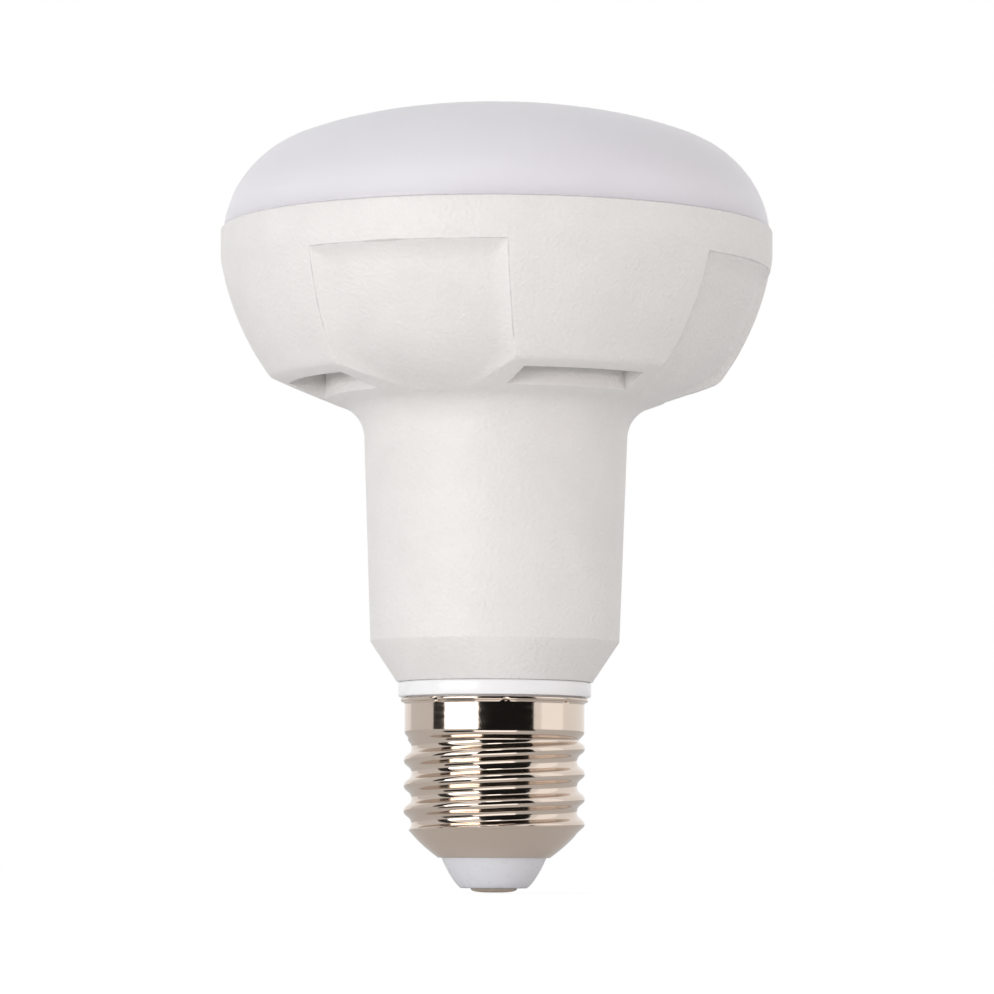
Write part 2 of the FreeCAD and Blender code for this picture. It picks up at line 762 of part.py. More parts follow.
def make_lead(name, side):
    """Lead from one face of the driver board, up through the plates and over to the connector."""
    away = f"{DRIVER_FACE} + Sizes.lead_radius"
    level = f"{BOARD_TOP} + Sizes.connector_height / 2"
    return wire(name, "XZ_Plane", f"{-side} * ({away})", ("Sizes.lead_across", f"{side} * ({away})"), [
        ("Sizes.lead_across", above_base("lead_rise")),
        ("Sizes.lead_across", level),
        ("Sizes.connector_start", level),
    ], "Sizes.lead_radius")


# Driver

def make_sleeve():
    """Insulating sleeve in the neck, with ribs that hold the board's two edges."""
    body = new_body("driver_sleeve")
    turned_solid(body, "sleeve", [
        ("Sizes.sleeve_floor_bore", SLEEVE_SEAT),
        (SLEEVE_RADIUS, SLEEVE_SEAT),
        (SLEEVE_RADIUS, SLEEVE_TOP),
        (SLEEVE_BORE, SLEEVE_TOP),
        (SLEEVE_BORE, DRIVER_SEAT),
        ("Sizes.sleeve_floor_bore", DRIVER_SEAT),
    ])
    near = f"{DRIVER_FACE} + Sizes.rib_gap"
    far = f"{near} + Sizes.rib_thickness"
    inner = f"{SLEEVE_BORE} - Sizes.rib_depth"
    outer = f"{SLEEVE_BORE} + Sizes.sleeve_wall / 2"
    front = block(body, "front_rib", (inner, f"-({far})", DRIVER_SEAT),
                  (outer, f"-({near})", SLEEVE_TOP))
    rear = block(body, "rear_rib", (inner, near, DRIVER_SEAT), (outer, far, SLEEVE_TOP))
    around(body, "ribs", [front, rear], "Sizes.rib_pairs")
    return keep(body, "driver_sleeve")


def make_driver_board():
    """Upright board with a tongue that reaches down into the cap."""
    body = new_body("driver_board")
    raised_plan(body, "board", [
        ("-Sizes.tongue_half_width", "Sizes.base_height - Sizes.tongue_drop"),
        ("Sizes.tongue_half_width", "Sizes.base_height - Sizes.tongue_drop"),
        ("Sizes.tongue_half_width", DRIVER_SEAT),
        ("Sizes.driver_half_width", DRIVER_SEAT),
        ("Sizes.driver_half_width", above_base("driver_top_rise")),
        ("-Sizes.driver_half_width", above_base("driver_top_rise")),
        ("-Sizes.driver_half_width", DRIVER_SEAT),
        ("-Sizes.tongue_half_width", DRIVER_SEAT),
    ], f"-({DRIVER_FACE})", DRIVER_FACE, plane="XZ_Plane")
    return keep(body, "driver_board")


CORE_NEAR = f"{DRIVER_FACE} + Sizes.core_stand"
CORE_FAR = f"{CORE_NEAR} + Sizes.core_depth"
CORE_BOTTOM = above_base("core_rise")
CORE_TOP = f"{CORE_BOTTOM} + Sizes.core_height"
WINDOW_BOTTOM = f"{CORE_BOTTOM} + Sizes.core_limb"
WINDOW_TOP = f"{CORE_TOP} - Sizes.core_limb"


def make_core():
    """Ferrite core: a block with a window on each side of its middle limb."""
    body = new_body("transformer_core")
    block(body, "core", ("-Sizes.core_half_width", CORE_NEAR, CORE_BOTTOM),
          ("Sizes.core_half_width", CORE_FAR, CORE_TOP))
    block(body, "left_window", ("-Sizes.window_outer", CORE_NEAR, WINDOW_BOTTOM),
          ("-Sizes.window_inner", CORE_FAR, WINDOW_TOP), cut=True)
    block(body, "right_window", ("Sizes.window_inner", CORE_NEAR, WINDOW_BOTTOM),
          ("Sizes.window_outer", CORE_FAR, WINDOW_TOP), cut=True)
    return keep(body, "transformer_core")


def make_bobbin():
    """Wound bobbin round the core's middle limb, standing on the board."""
    body = new_body("transformer_bobbin")
    bottom = f"{WINDOW_BOTTOM} + Sizes.bobbin_gap"
    top = f"{WINDOW_TOP} - Sizes.bobbin_gap"
    limb = "Sizes.window_inner + Sizes.bobbin_gap"
    block(body, "bobbin", ("-Sizes.bobbin_half_width", DRIVER_FACE, bottom),
          ("Sizes.bobbin_half_width", f"{CORE_FAR} + Sizes.core_stand", top))
    block(body, "bobbin_bore", (f"-({limb})", f"{CORE_NEAR} - Sizes.bobbin_gap", bottom),
          (limb, f"{CORE_FAR} + Sizes.bobbin_gap", top), cut=True)
    return keep(body, "transformer_bobbin")


def make_can(name, across, rise, radius, height):
    """Round capacitor lying along the board's rear face."""
    body = new_body(name)
    drum(body, "can", (across, f"{DRIVER_FACE} + {radius}", rise), radius, height)
    return keep(body, name)


def make_front_block(name, left, bottom, width, height, depth):
    """Box-shaped part on the board's front face."""
    body = new_body(name)
    block(body, "case", (left, f"-({DRIVER_FACE} + {depth})", bottom),
          (f"{left} + {width}", f"-({DRIVER_FACE})", f"{bottom} + {height}"))
    return keep(body, name)


def make_varistor():
    body = new_body("varistor")
    drum(body, "disc", ("Sizes.varistor_across", DRIVER_FACE, above_base("varistor_rise")),
         "Sizes.varistor_radius", "Sizes.varistor_thickness", Vector(0, 1, 0))
    return keep(body, "varistor")


def make_choke():
    body = new_body("filter_choke")
    drum(body, "coil", ("Sizes.choke_across", f"-({DRIVER_FACE})", above_base("choke_rise")),
         "Sizes.choke_radius", "Sizes.choke_depth", Vector(0, -1, 0))
    return keep(body, "filter_choke")


def make_fuse():
    body = new_body("fuse_resistor")
    foot = "Sizes.base_height - Sizes.fuse_drop"
    drum(body, "fuse", ("Sizes.fuse_across", f"-({DRIVER_FACE} + Sizes.fuse_radius)", foot),
         "Sizes.fuse_radius", "Sizes.fuse_height")
    return keep(body, "fuse_resistor")


# Screw cap

CAP_BORE = "Sizes.thread_root - Sizes.cap_wall"
BAND_BORE = "Sizes.band_radius - Sizes.cap_wall"
FLARE_FOOT = f"{BAND_TOP} + Sizes.flare_cone"
WIRE_AWAY = f"{DRIVER_FACE} + Sizes.wire_radius"
WIRE_OUT = f"sqrt(({CAP_BORE} - Sizes.wire_radius)^2 - ({WIRE_AWAY})^2)"


def cap_cone(radius, wall="0"):
    """Height of the cap's lower cone at a radius, a wall further inside."""
    rise = f"({radius} - Sizes.cap_opening) * tan(Sizes.cap_slope)"
    return f"Sizes.cap_foot + {rise} + ({wall}) / cos(Sizes.cap_slope)"


def make_cap():
    """Drawn shell: its cone, the plain wall that stands for the thread, and a flare on top."""
    body = new_body("cap_shell")
    lip = "Sizes.cap_opening - Sizes.cap_wall * sin(Sizes.cap_slope)"
    turned_solid(body, "shell", [
        ("Sizes.cap_opening", "Sizes.cap_foot"),
        ("Sizes.band_radius", cap_cone("Sizes.band_radius")),
        ("Sizes.band_radius", BAND_TOP),
        ("Sizes.flare_radius", FLARE_FOOT),
        ("Sizes.flare_radius", COLLAR_BOTTOM),
        (BAND_BORE, COLLAR_BOTTOM),
        (BAND_BORE, BAND_BOTTOM),
        (CAP_BORE, BAND_BOTTOM),
        (CAP_BORE, cap_cone(CAP_BORE, "Sizes.cap_wall")),
        (lip, cap_cone(lip, "Sizes.cap_wall")),
    ])
    return keep(body, "cap_shell")


def make_collar():
    """Plastic collar: a spigot inside the cap, a rim between cap and housing, and snap hooks."""
    body = new_body("cap_collar")
    spigot = f"{CAP_BORE} - Sizes.fit_gap"
    band = f"{BAND_BORE} - Sizes.fit_gap"
    latch = "Sizes.base_height + Sizes.base_floor + Sizes.hook_play"
    hook_top = f"{latch} + Sizes.hook_height"
    turned_solid(body, "collar", [
        ("Sizes.spigot_bore", "Sizes.spigot_bottom"),
        (spigot, "Sizes.spigot_bottom"),
        (spigot, f"{BAND_BOTTOM} + Sizes.fit_gap"),
        (band, f"{BAND_BOTTOM} + Sizes.fit_gap"),
        (band, COLLAR_BOTTOM),
        ("Sizes.collar_radius", COLLAR_BOTTOM),
        ("Sizes.collar_radius", "Sizes.base_height"),
        ("Sizes.collar_neck_radius", "Sizes.base_height"),
        ("Sizes.collar_neck_radius", latch),
        ("Sizes.hook_radius", latch),
        ("Sizes.collar_neck_radius", hook_top),
        ("Sizes.spigot_bore", hook_top),
    ])
    half = "Sizes.hook_slot / 2"
    slot = block(body, "hook_slot",
                 ("Sizes.spigot_bore - Sizes.over_cut", f"-({half})", "Sizes.base_height + Sizes.over_cut"),
                 ("Sizes.collar_radius", half, f"{hook_top} + Sizes.over_cut"), cut=True)
    around(body, "hook_slots", [slot], "Sizes.hook_slot_count")
    width = "Sizes.wire_groove_width / 2"
    below = "Sizes.spigot_bottom - Sizes.over_cut"
    above = f"{NEUTRAL_END} + Sizes.over_cut"
    block(body, "wire_groove", (f"-({CAP_BORE})", f"-({WIRE_AWAY} + {width})", below),
          (f"-({spigot} - Sizes.wire_groove_depth)", f"-({WIRE_AWAY} - {width})", above), cut=True)
    return keep(body, "cap_collar")


def make_insulator():
    """Moulded bowl between the shell and the centre contact, open to the inside of the cap."""
    body = new_body("cap_insulator")
    foot = "Sizes.contact_thickness"
    lip_foot = "Sizes.cap_opening - Sizes.cap_wall"
    turned_solid(body, "insulator", [
        ("Sizes.shank_radius", foot),
        ("Sizes.insulator_nose_radius", foot),
        ("Sizes.insulator_foot_radius", "Sizes.cap_foot"),
        (lip_foot, cap_cone(lip_foot, "Sizes.cap_wall")),
        ("Sizes.insulator_lip_radius", cap_cone("Sizes.insulator_lip_radius", "Sizes.cap_wall")),
        ("Sizes.insulator_lip_radius", "Sizes.insulator_top"),
        ("Sizes.insulator_foot_radius", "Sizes.insulator_top"),
        ("Sizes.insulator_floor_radius", "Sizes.insulator_floor"),
        ("Sizes.shank_radius", "Sizes.insulator_floor"),
    ])
    return keep(body, "cap_insulator")


def make_contact():
    """Centre contact: a button with a shank through the insulator."""
    body = new_body("centre_contact")
    turned_solid(body, "contact", [
        ("0", "0"),
        ("Sizes.contact_flat", "0"),
        ("Sizes.contact_radius", "Sizes.contact_edge"),
        ("Sizes.contact_radius", "Sizes.contact_thickness"),
        ("Sizes.shank_radius", "Sizes.contact_thickness"),
        ("Sizes.shank_radius", "Sizes.shank_top"),
        ("0", "Sizes.shank_top"),
    ])
    return keep(body, "centre_contact")


def make_live_lead():
    """Wire from the board's front face down to the middle of the cap, and onto the contact."""
    away = f"-({WIRE_AWAY})"
    return wire("live_lead", "YZ_Plane", "0", ("0", away), [
        (away, COLLAR_BOTTOM),
        (away, "Sizes.spigot_bottom"),
        ("0", "Sizes.insulator_top"),
        ("0", "Sizes.shank_top"),
    ], "Sizes.wire_radius")


def make_neutral_lead():
    """Wire from the board under the spigot's end, then up its groove against the shell."""
    away = f"-({WIRE_AWAY})"
    level = "Sizes.spigot_bottom - Sizes.wire_drop"
    return wire("neutral_lead", "XZ_Plane", WIRE_AWAY, ("Sizes.neutral_across", away), [
        ("Sizes.neutral_across", COLLAR_BOTTOM),
        ("Sizes.neutral_across", level),
        (f"-({WIRE_OUT})", level),
        (f"-({WIRE_OUT})", NEUTRAL_END),
    ], "Sizes.wire_radius")


make_housing()
make_dome()
make_disc("heat_spreader", f"{RIM_BORE} - Sizes.fit_gap", LEDGE_TOP, SPREADER_TOP)
make_disc("led_board", "Sizes.rim_radius - Sizes.board_inset", SPREADER_TOP, BOARD_TOP)
make_chips()
make_screws()
make_connector()
make_lead("positive_lead", 1)
make_lead("negative_lead", -1)
make_sleeve()
make_driver_board()
make_core()
make_bobbin()
make_can("input_capacitor", "Sizes.input_across", above_base("input_rise"), "Sizes.input_radius",
         "Sizes.input_height")
make_can("output_capacitor", "Sizes.output_across", above_base("output_rise"), "Sizes.output_radius",
         "Sizes.output_height")
make_varistor()
make_front_block("bridge_rectifier", "Sizes.rectifier_left", above_base("rectifier_rise"),
                 "Sizes.rectifier_width", "Sizes.rectifier_height", "Sizes.rectifier_depth")
make_front_block("controller_chip", "Sizes.controller_left", above_base("controller_rise"),
                 "Sizes.controller_width", "Sizes.controller_width", "Sizes.controller_depth")
make_front_block("film_capacitor", "Sizes.film_left", above_base("film_rise"), "Sizes.film_width",
                 "Sizes.film_width", "Sizes.film_depth")
make_choke()
make_fuse()
make_collar()
make_cap()
make_insulator()
make_contact()
make_live_lead()
make_neutral_lead()
doc.recompute()

failed = [entry.Label for entry in doc.Objects if "Invalid" in entry.State or "Error" in entry.State]
if failed:
    raise RuntimeError(f"failed: {failed}")

os.makedirs("parts", exist_ok=True)
for piece in finished:
    if piece.Shape.isNull() or not piece.Shape.isValid():
        raise RuntimeError(f"{piece.Label} is not a valid solid")
    piece.Shape.exportStep(f"parts/{piece.Label}.step")
    print(piece.Label, len(piece.Shape.Solids), round(piece.Shape.Volume, 1))
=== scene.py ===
# %% [markdown]
# # A reflector lamp, dressed around its CAD frame
#
# The lamp is a milky dome on a white moulded housing, over a plated screw cap.
# The CAD frame gives the place and size of each piece. This lesson lays smooth numpy surfaces over
# the pieces that show, gives every piece a procedural finish, and lights them as in a small studio.
# The lamp's axis is Z and its contact's tip is the origin. Shapes are worked out in millimetres, and
# the camera, the floor, the lamps and the cards are placed in metres.

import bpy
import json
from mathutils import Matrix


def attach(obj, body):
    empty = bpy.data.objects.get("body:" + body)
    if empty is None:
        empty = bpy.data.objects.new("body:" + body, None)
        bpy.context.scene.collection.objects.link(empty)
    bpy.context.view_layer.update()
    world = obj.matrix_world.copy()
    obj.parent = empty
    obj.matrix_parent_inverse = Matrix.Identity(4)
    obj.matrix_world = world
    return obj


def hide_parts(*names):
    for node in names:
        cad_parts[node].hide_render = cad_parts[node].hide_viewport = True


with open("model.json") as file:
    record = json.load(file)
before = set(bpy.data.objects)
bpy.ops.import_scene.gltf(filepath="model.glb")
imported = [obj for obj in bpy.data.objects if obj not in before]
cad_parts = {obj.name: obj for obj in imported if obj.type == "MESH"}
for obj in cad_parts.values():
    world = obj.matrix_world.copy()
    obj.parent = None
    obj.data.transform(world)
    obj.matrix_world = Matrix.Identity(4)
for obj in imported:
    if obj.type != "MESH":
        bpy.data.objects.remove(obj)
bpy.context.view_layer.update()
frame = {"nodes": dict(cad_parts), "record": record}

# %% Tools
import json
import math

import bpy
import numpy as np
from mathutils import Matrix, Vector

MM = 0.001
TAU = 2 * math.pi
scene = bpy.context.scene


def new_node(tree, kind, **settings):
    """New node of a tree with some of its sockets set. An underscore stands for a space."""
    node = tree.nodes.new(kind)
    for socket, value in settings.items():
        node.inputs[socket.replace("_", " ")].default_value = value
    return node


def join(source, output, target, socket):
    """Link an output of one node to a socket of another."""
    source.id_data.links.new(source.outputs[output], target.inputs[socket])


print("Blender", bpy.app.version_string)

# %% [markdown]
# ## The camera
#
# The photograph was taken from far away with a long lens, about level with the lamp's foot, so the
# lamp's sides hardly converge. The camera stands 700 mm off and 3.5 mm above the floor, and is
# pitched up by 4.4 degrees. The hoods and vents lie on X and Y here, and the camera sees the lamp
# turned by 25.5 degrees.

# %% Camera
TURN, PITCH_UP, ROLL = [math.radians(degrees) for degrees in (25.5, 4.37, 0.25)]
STAND_OFF, EYE_HEIGHT = 0.7, 0.0035
LENS_MM, SENSOR_MM, SIDE_SHIFT = 175.87, 36, 0.0015

up = Vector((0, 0, 1))
ahead = Vector((math.sin(TURN), math.cos(TURN), 0))
aside = Vector((math.cos(TURN), -math.sin(TURN), 0))
look = ahead * math.cos(PITCH_UP) + up * math.sin(PITCH_UP)
lift = up * math.cos(PITCH_UP) - ahead * math.sin(PITCH_UP)
right = aside * math.cos(ROLL) + lift * math.sin(ROLL)
top = lift * math.cos(ROLL) - aside * math.sin(ROLL)
axes = Matrix((right, top, -look)).transposed().to_4x4()
camera = bpy.data.objects.new("camera", bpy.data.cameras.new("camera"))
scene.collection.objects.link(camera)
camera.matrix_world = Matrix.Translation(ahead * -STAND_OFF + up * EYE_HEIGHT) @ axes
camera.data.lens = LENS_MM
camera.data.sensor_width = SENSOR_MM
camera.data.shift_x = SIDE_SHIFT
camera.data.clip_start = 0.05
camera.data.clip_end = 20
scene.camera = camera
scene.view_settings.view_transform = "Standard"
print("camera at", [round(v, 4) for v in camera.location])

# %% [markdown]
# ## Finishes
#
# A finish is a Principled shader whose colour, roughness and bump come from noise in Object
# coordinates, so it stays put in every view. Numbers that are the same all over sit on the
# shader's own sockets. One helper makes the shader and the noise, and each finish says how
# coarse its grain is and how much it shows.

# %% Finish helper
NOISE_LOW, NOISE_HIGH = 0.3, 0.7
EDGE_SHADE_LOW, EDGE_SHADE_HIGH = 0.78, 1.0
BROAD_TO_FINE = 12


def finish(name, colour, roughness, grain=400, blotch=0.03, bump=0.02, stretch=(1, 1, 1), edge_shade=0.0,
           **sockets):
    """Principled material with two noises: a broad one tints the colour between two close shades,
    and a fine one of `grain` cells a metre moves the roughness and raises the bump, in millimetres.
    A share of painted edge shade above nought darkens the colour by that share where the mesh's own
    attribute, edge, is high. What else is named goes to the shader's sockets.
    """
    material = bpy.data.materials.new(name)
    material.use_nodes = True
    tree = material.node_tree
    shader = tree.nodes["Principled BSDF"]
    for socket, value in sockets.items():
        shader.inputs[socket.replace("_", " ")].default_value = value
    place = new_node(tree, "ShaderNodeTexCoord")
    mapping = new_node(tree, "ShaderNodeMapping", Scale=stretch)
    broad = new_node(tree, "ShaderNodeTexNoise", Scale=grain / BROAD_TO_FINE, Detail=3)
    fine = new_node(tree, "ShaderNodeTexNoise", Scale=grain, Detail=4)
    join(place, "Object", mapping, "Vector")
    join(mapping, "Vector", broad, "Vector")
    join(mapping, "Vector", fine, "Vector")
    light_shade = (*[min(c * (1 + blotch), 1) for c in colour], 1)
    tint = new_node(tree, "ShaderNodeValToRGB")
    shades = tint.color_ramp.elements
    shades[0].position = NOISE_LOW
    shades[1].position = NOISE_HIGH
    shades[0].color = (*[c * (1 - blotch) for c in colour], 1)
    shades[1].color = light_shade
    join(broad, "Fac", tint, "Fac")
    # Painted shade: the ramp gets a darker stop, reached where the edge attribute adds to the noise.
    if edge_shade:
        shades.new(EDGE_SHADE_LOW).color = light_shade
        shades.new(EDGE_SHADE_HIGH).color = (*[c * (1 - edge_shade) for c in colour], 1)
        edge = new_node(tree, "ShaderNodeAttribute")
        edge.attribute_name = "edge"
        total = new_node(tree, "ShaderNodeMath")
        join(broad, "Fac", total, 0)
        join(edge, "Fac", total, 1)
        join(total, "Value", tint, "Fac")
    join(tint, "Color", shader, "Base Color")
    give = min(0.3 * roughness, 0.06)
    spread = new_node(tree, "ShaderNodeMapRange", From_Min=NOISE_LOW, From_Max=NOISE_HIGH,
                      To_Min=roughness - give, To_Max=roughness + give)
    join(fine, "Fac", spread, "Value")
    join(spread, "Result", shader, "Roughness")
    relief = new_node(tree, "ShaderNodeBump", Strength=1, Distance=bump * MM)
    join(fine, "Fac", relief, "Height")
    join(relief, "Normal", shader, "Normal")
    print("finish", name, "has roughness", roughness, "and", grain, "cells a metre")
    return material


def linear(*srgb):
    """Linear colour of an 8-bit screen colour: the straight foot, or the 2.4 power curve."""
    shares = np.array(srgb) / 255
    curve = ((shares + 0.055) / 1.055) ** 2.4
    return tuple(float(v) for v in np.where(shares < 0.04045, shares / 12.92, curve))


# %% [markdown]
# ## Surfaces
#
# Every new piece here is round, so its points form a grid: each row is a ring about the axis and
# the rows follow the profile. Points that fall together, as on the axis, are merged, so a pole
# closes into triangles and every seam is shut.

# %% Surface helpers
def cells(grid):
    """Four corners of each cell of a grid: cell (i, j) has points j and j + 1 of rings i and i + 1,
    and the last ring and the last column join the first.
    """
    on = np.roll(grid, -1, 0)
    return np.stack([grid, np.roll(grid, -1, 1), np.roll(on, -1, 1), on], 2)


def surface(name, grid, keep=None, extra=None, sharp=38, edge=None):
    """Mesh of a grid of rings. `keep` marks the cells to make, `extra` adds quads given by their
    four points, `sharp` is the angle in degrees past which an edge isn't smoothed, and `edge` is a
    value for each grid point that a finish reads as its share of painted shade.
    """
    quads = cells(np.arange(grid.shape[0] * grid.shape[1]).reshape(grid.shape[:2]))
    quads = quads.reshape(-1, 4) if keep is None else quads[keep]
    points = grid.reshape(-1, 3)
    if extra is not None:
        quads = np.concatenate([quads, np.arange(len(extra) * 4).reshape(-1, 4) + len(points)])
        points = np.concatenate([points, extra.reshape(-1, 3)])
    _, first, same = np.unique(np.round(points, 4), axis=0, return_index=True, return_inverse=True)
    quads = same.reshape(-1)[quads]
    # A quad with one doubled corner is a triangle, and one with more has no area.
    double = quads == np.roll(quads, -1, 1)
    four = quads[double.sum(1) == 0]
    one = double.sum(1) == 1
    three = quads[one][~double[one]].reshape(-1, 3)
    mesh = bpy.data.meshes.new(name)
    mesh.from_pydata(points[first] * MM, [], four.tolist() + three.tolist())
    mesh.validate()
    mesh.shade_smooth()
    mesh.set_sharp_from_angle(angle=math.radians(sharp))
    # The edge attribute carries the share of painted shade for the finish.
    if edge is not None:
        values = np.concatenate([edge.reshape(-1), np.zeros(len(points) - edge.size)])[first]
        attribute = mesh.attributes.new("edge", "FLOAT", "POINT")
        attribute.data.foreach_set("value", values.astype(np.float32))
    piece = bpy.data.objects.new(name, mesh)
    scene.collection.objects.link(piece)
    print(name, "has", 2 * len(four) + len(three), "triangles")
    return piece


def rounded(corners, steps=5):
    """Closed outline of (radius, height, rounding) corners. Each corner becomes an arc that touches
    both its sides: its centre is rounding / sin(half the angle) along the bisector.
    """
    corners = np.array(corners, float)
    tips, radii = corners[:, :2], corners[:, 2:]
    back = np.roll(tips, 1, 0) - tips
    on = np.roll(tips, -1, 0) - tips
    back /= np.linalg.norm(back, axis=1, keepdims=True)
    on /= np.linalg.norm(on, axis=1, keepdims=True)
    half = np.arccos(np.clip((back * on).sum(1, keepdims=True), -1, 1)) / 2
    middle = (back + on) / np.maximum(np.linalg.norm(back + on, axis=1, keepdims=True), 1e-9)
    centre = tips + middle * radii / np.sin(half)
    start = tips + back * radii / np.tan(half) - centre
    end = tips + on * radii / np.tan(half) - centre
    turn = np.maximum(math.pi - 2 * half, 1e-6)[:, None]
    share = np.linspace(0, 1, steps)[None, :, None]
    arc = (np.sin((1 - share) * turn) * start[:, None] + np.sin(share * turn) * end[:, None]) / np.sin(turn)
    return (centre[:, None] + arc).reshape(-1, 2)


def around(profile, angles):
    """Points in space of (radius, height) points that stand at given angles about the axis."""
    across, height = profile[..., 0], profile[..., 1]
    return np.stack(np.broadcast_arrays(across * np.cos(angles), across * np.sin(angles), height), -1)


def turned(outline, columns):
    """Rings of an outline of (radius, height) points, turned about the axis."""
    return around(outline[:, None], np.linspace(0, TAU, columns, endpoint=False))


def dress(piece, material, slot, *nodes):
    """Give a piece its finish, tie it to the frame, and let it stand for CAD nodes."""
    piece.data.materials.clear()
    piece.data.materials.append(material)
    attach(piece, "root")
    if nodes:
        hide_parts(*nodes)


# %% [markdown]
# ## The diffuser dome
#
# The dome is a thin milky moulding. Its side is a tight arc that turns over into a wide shoulder
# and then into a nearly flat crown, and a skirt below drops inside the housing's rim. Three arcs
# that meet smoothly make this profile, and the inside is the same arcs moved in by the wall.

# %% Dome shape
DOME_FOOT = (39.58, 95.62, 6.4)
DOME_SIDE, DOME_SHOULDER = (15.9, 69.2), (62.0, 78.8)
DOME_WALL = 1.6
SKIRT_IN, SKIRT_OUT, SKIRT_FOOT, DOME_SEAT = 36.4, 37.9, 92.9, 95.62


def arc_chain(start, arcs, steps=24):
    """Points and leans along arcs that meet smoothly, from a start of (radius, height, lean). An arc
    is (radius, lean where it ends), and a point at lean a lies radius * (cos a, sin a) from its
    arc's centre. Leans are in degrees.
    """
    point = np.array(start[:2], float)
    lean = start[2]
    points, leans = [], []
    for radius, end in arcs:
        angle = np.radians(np.linspace(lean, end, steps))
        ray = np.stack([np.cos(angle), np.sin(angle)], -1)
        points.append(point - radius * ray[0] + radius * ray)
        leans.append(angle)
        point, lean = points[-1][-1], end
    return np.concatenate(points), np.concatenate(leans)


# The crown's arc is centred on the axis: its radius is the shoulder end's over its lean's cosine.
dome_shoulder, _ = arc_chain(DOME_FOOT, [DOME_SIDE, DOME_SHOULDER])
crown_radius = dome_shoulder[-1, 0] / math.cos(math.radians(DOME_SHOULDER[1]))
outside, leans = arc_chain(DOME_FOOT, [DOME_SIDE, DOME_SHOULDER, (crown_radius, 90)])
inside = (outside - DOME_WALL * np.stack([np.cos(leans), np.sin(leans)], -1))[::-1]
dome_profile = np.concatenate([
    [(SKIRT_IN, 97.0), (SKIRT_IN, SKIRT_FOOT), (SKIRT_OUT, SKIRT_FOOT), (SKIRT_OUT, DOME_SEAT)],
    [(39.4, DOME_SEAT), (39.5, 95.64), (39.56, 95.7), (39.58, 95.78)],
    outside[outside[:, 1] > 95.85],
    inside[inside[:, 0] < SKIRT_IN],
])
dome_profile[:, 0] = np.maximum(dome_profile[:, 0], 0)
dome = surface("dome", turned(dome_profile, 192))
print("dome's top at", round(float(dome_profile[:, 1].max()), 3), "mm, wall", DOME_WALL, "mm")

# %% [markdown]
# The plastic is filled so that it scatters light and hides the chips. It looks like a satin, faintly
# lavender white: a diffuse shader with a broad weak gloss and almost no grain.

# %% Dome finish
milky = finish("milky_plastic", linear(249, 245, 255), 0.34, grain=700, blotch=0.008, bump=0.004,
               Specular_IOR_Level=0.4, IOR=1.5, Subsurface_Weight=0.5, Subsurface_Scale=0.01,
               Subsurface_Radius=(1, 1, 1))
dress(dome, milky, "diffuser", "diffuser_dome")

# %% [markdown]
# ## The housing
#
# One moulding forms the neck, a flat-coned shoulder and a round bowl. Four smooth hoods alternate
# with four recessed panels, and under each hood the shoulder has a blind vent. To keep every edge
# crisp, the grid's columns follow the vents' sides and the panels' edges as these swing round the
# bowl, and rings lie on the vents' arcs and on the panels' top edge.

# %% Housing profile
BOWL, BOWL_CENTRE, PANEL_DEPTH = 40.5, 97.9, 1.1
FLOOR_BOWL = BOWL - PANEL_DEPTH
CREASE, RIM = 32.6, 39.98
CREASE_HEIGHT = BOWL_CENTRE - math.sqrt(BOWL**2 - CREASE**2)
SHOULDER_LEAN, PANEL_LEAN = math.radians(20.1), math.radians(25)
NECK_TOP, NECK_FOOT, NECK_FOOT_HEIGHT, NECK_BEND = 19.15, 17.95, 36.0, 5.0
PANEL_TOP, PANEL_FOOT = 89.6, 23.8
VENT_IN, VENT_OUT = 24.65, 30.1
# Rings lie this far below the panel's top edge, where 1 mm along the bowl rises about 0.985 mm.
COVE_ROWS, ROW_RISE = np.array([3.5, 2.95, 2.4, 1.9, 1.3, 0.8, 0.4, 0.12, 0.0, -0.1, -0.5]), 0.985


def shoulder_at(radius):
    """Height of the shoulder's cone: the crease's, less the way in from it times the slope."""
    return CREASE_HEIGHT - (CREASE - radius) * math.tan(SHOULDER_LEAN)


def bowl_at(height, sphere=BOWL):
    """Radius of the bowl's sphere at a height, by Pythagoras."""
    return np.sqrt(sphere**2 - (BOWL_CENTRE - height) ** 2)


def shoulder_rings(radii):
    """Profile points of the shoulder at given radii."""
    radii = np.asarray(radii, float)
    return np.stack([radii, shoulder_at(radii)], -1)


def bowl_rings(heights, sphere=BOWL):
    """Profile points of the bowl, or of a sphere about the same centre, at given heights."""
    heights = np.asarray(heights, float)
    return np.stack([bowl_at(heights, sphere), heights], -1)


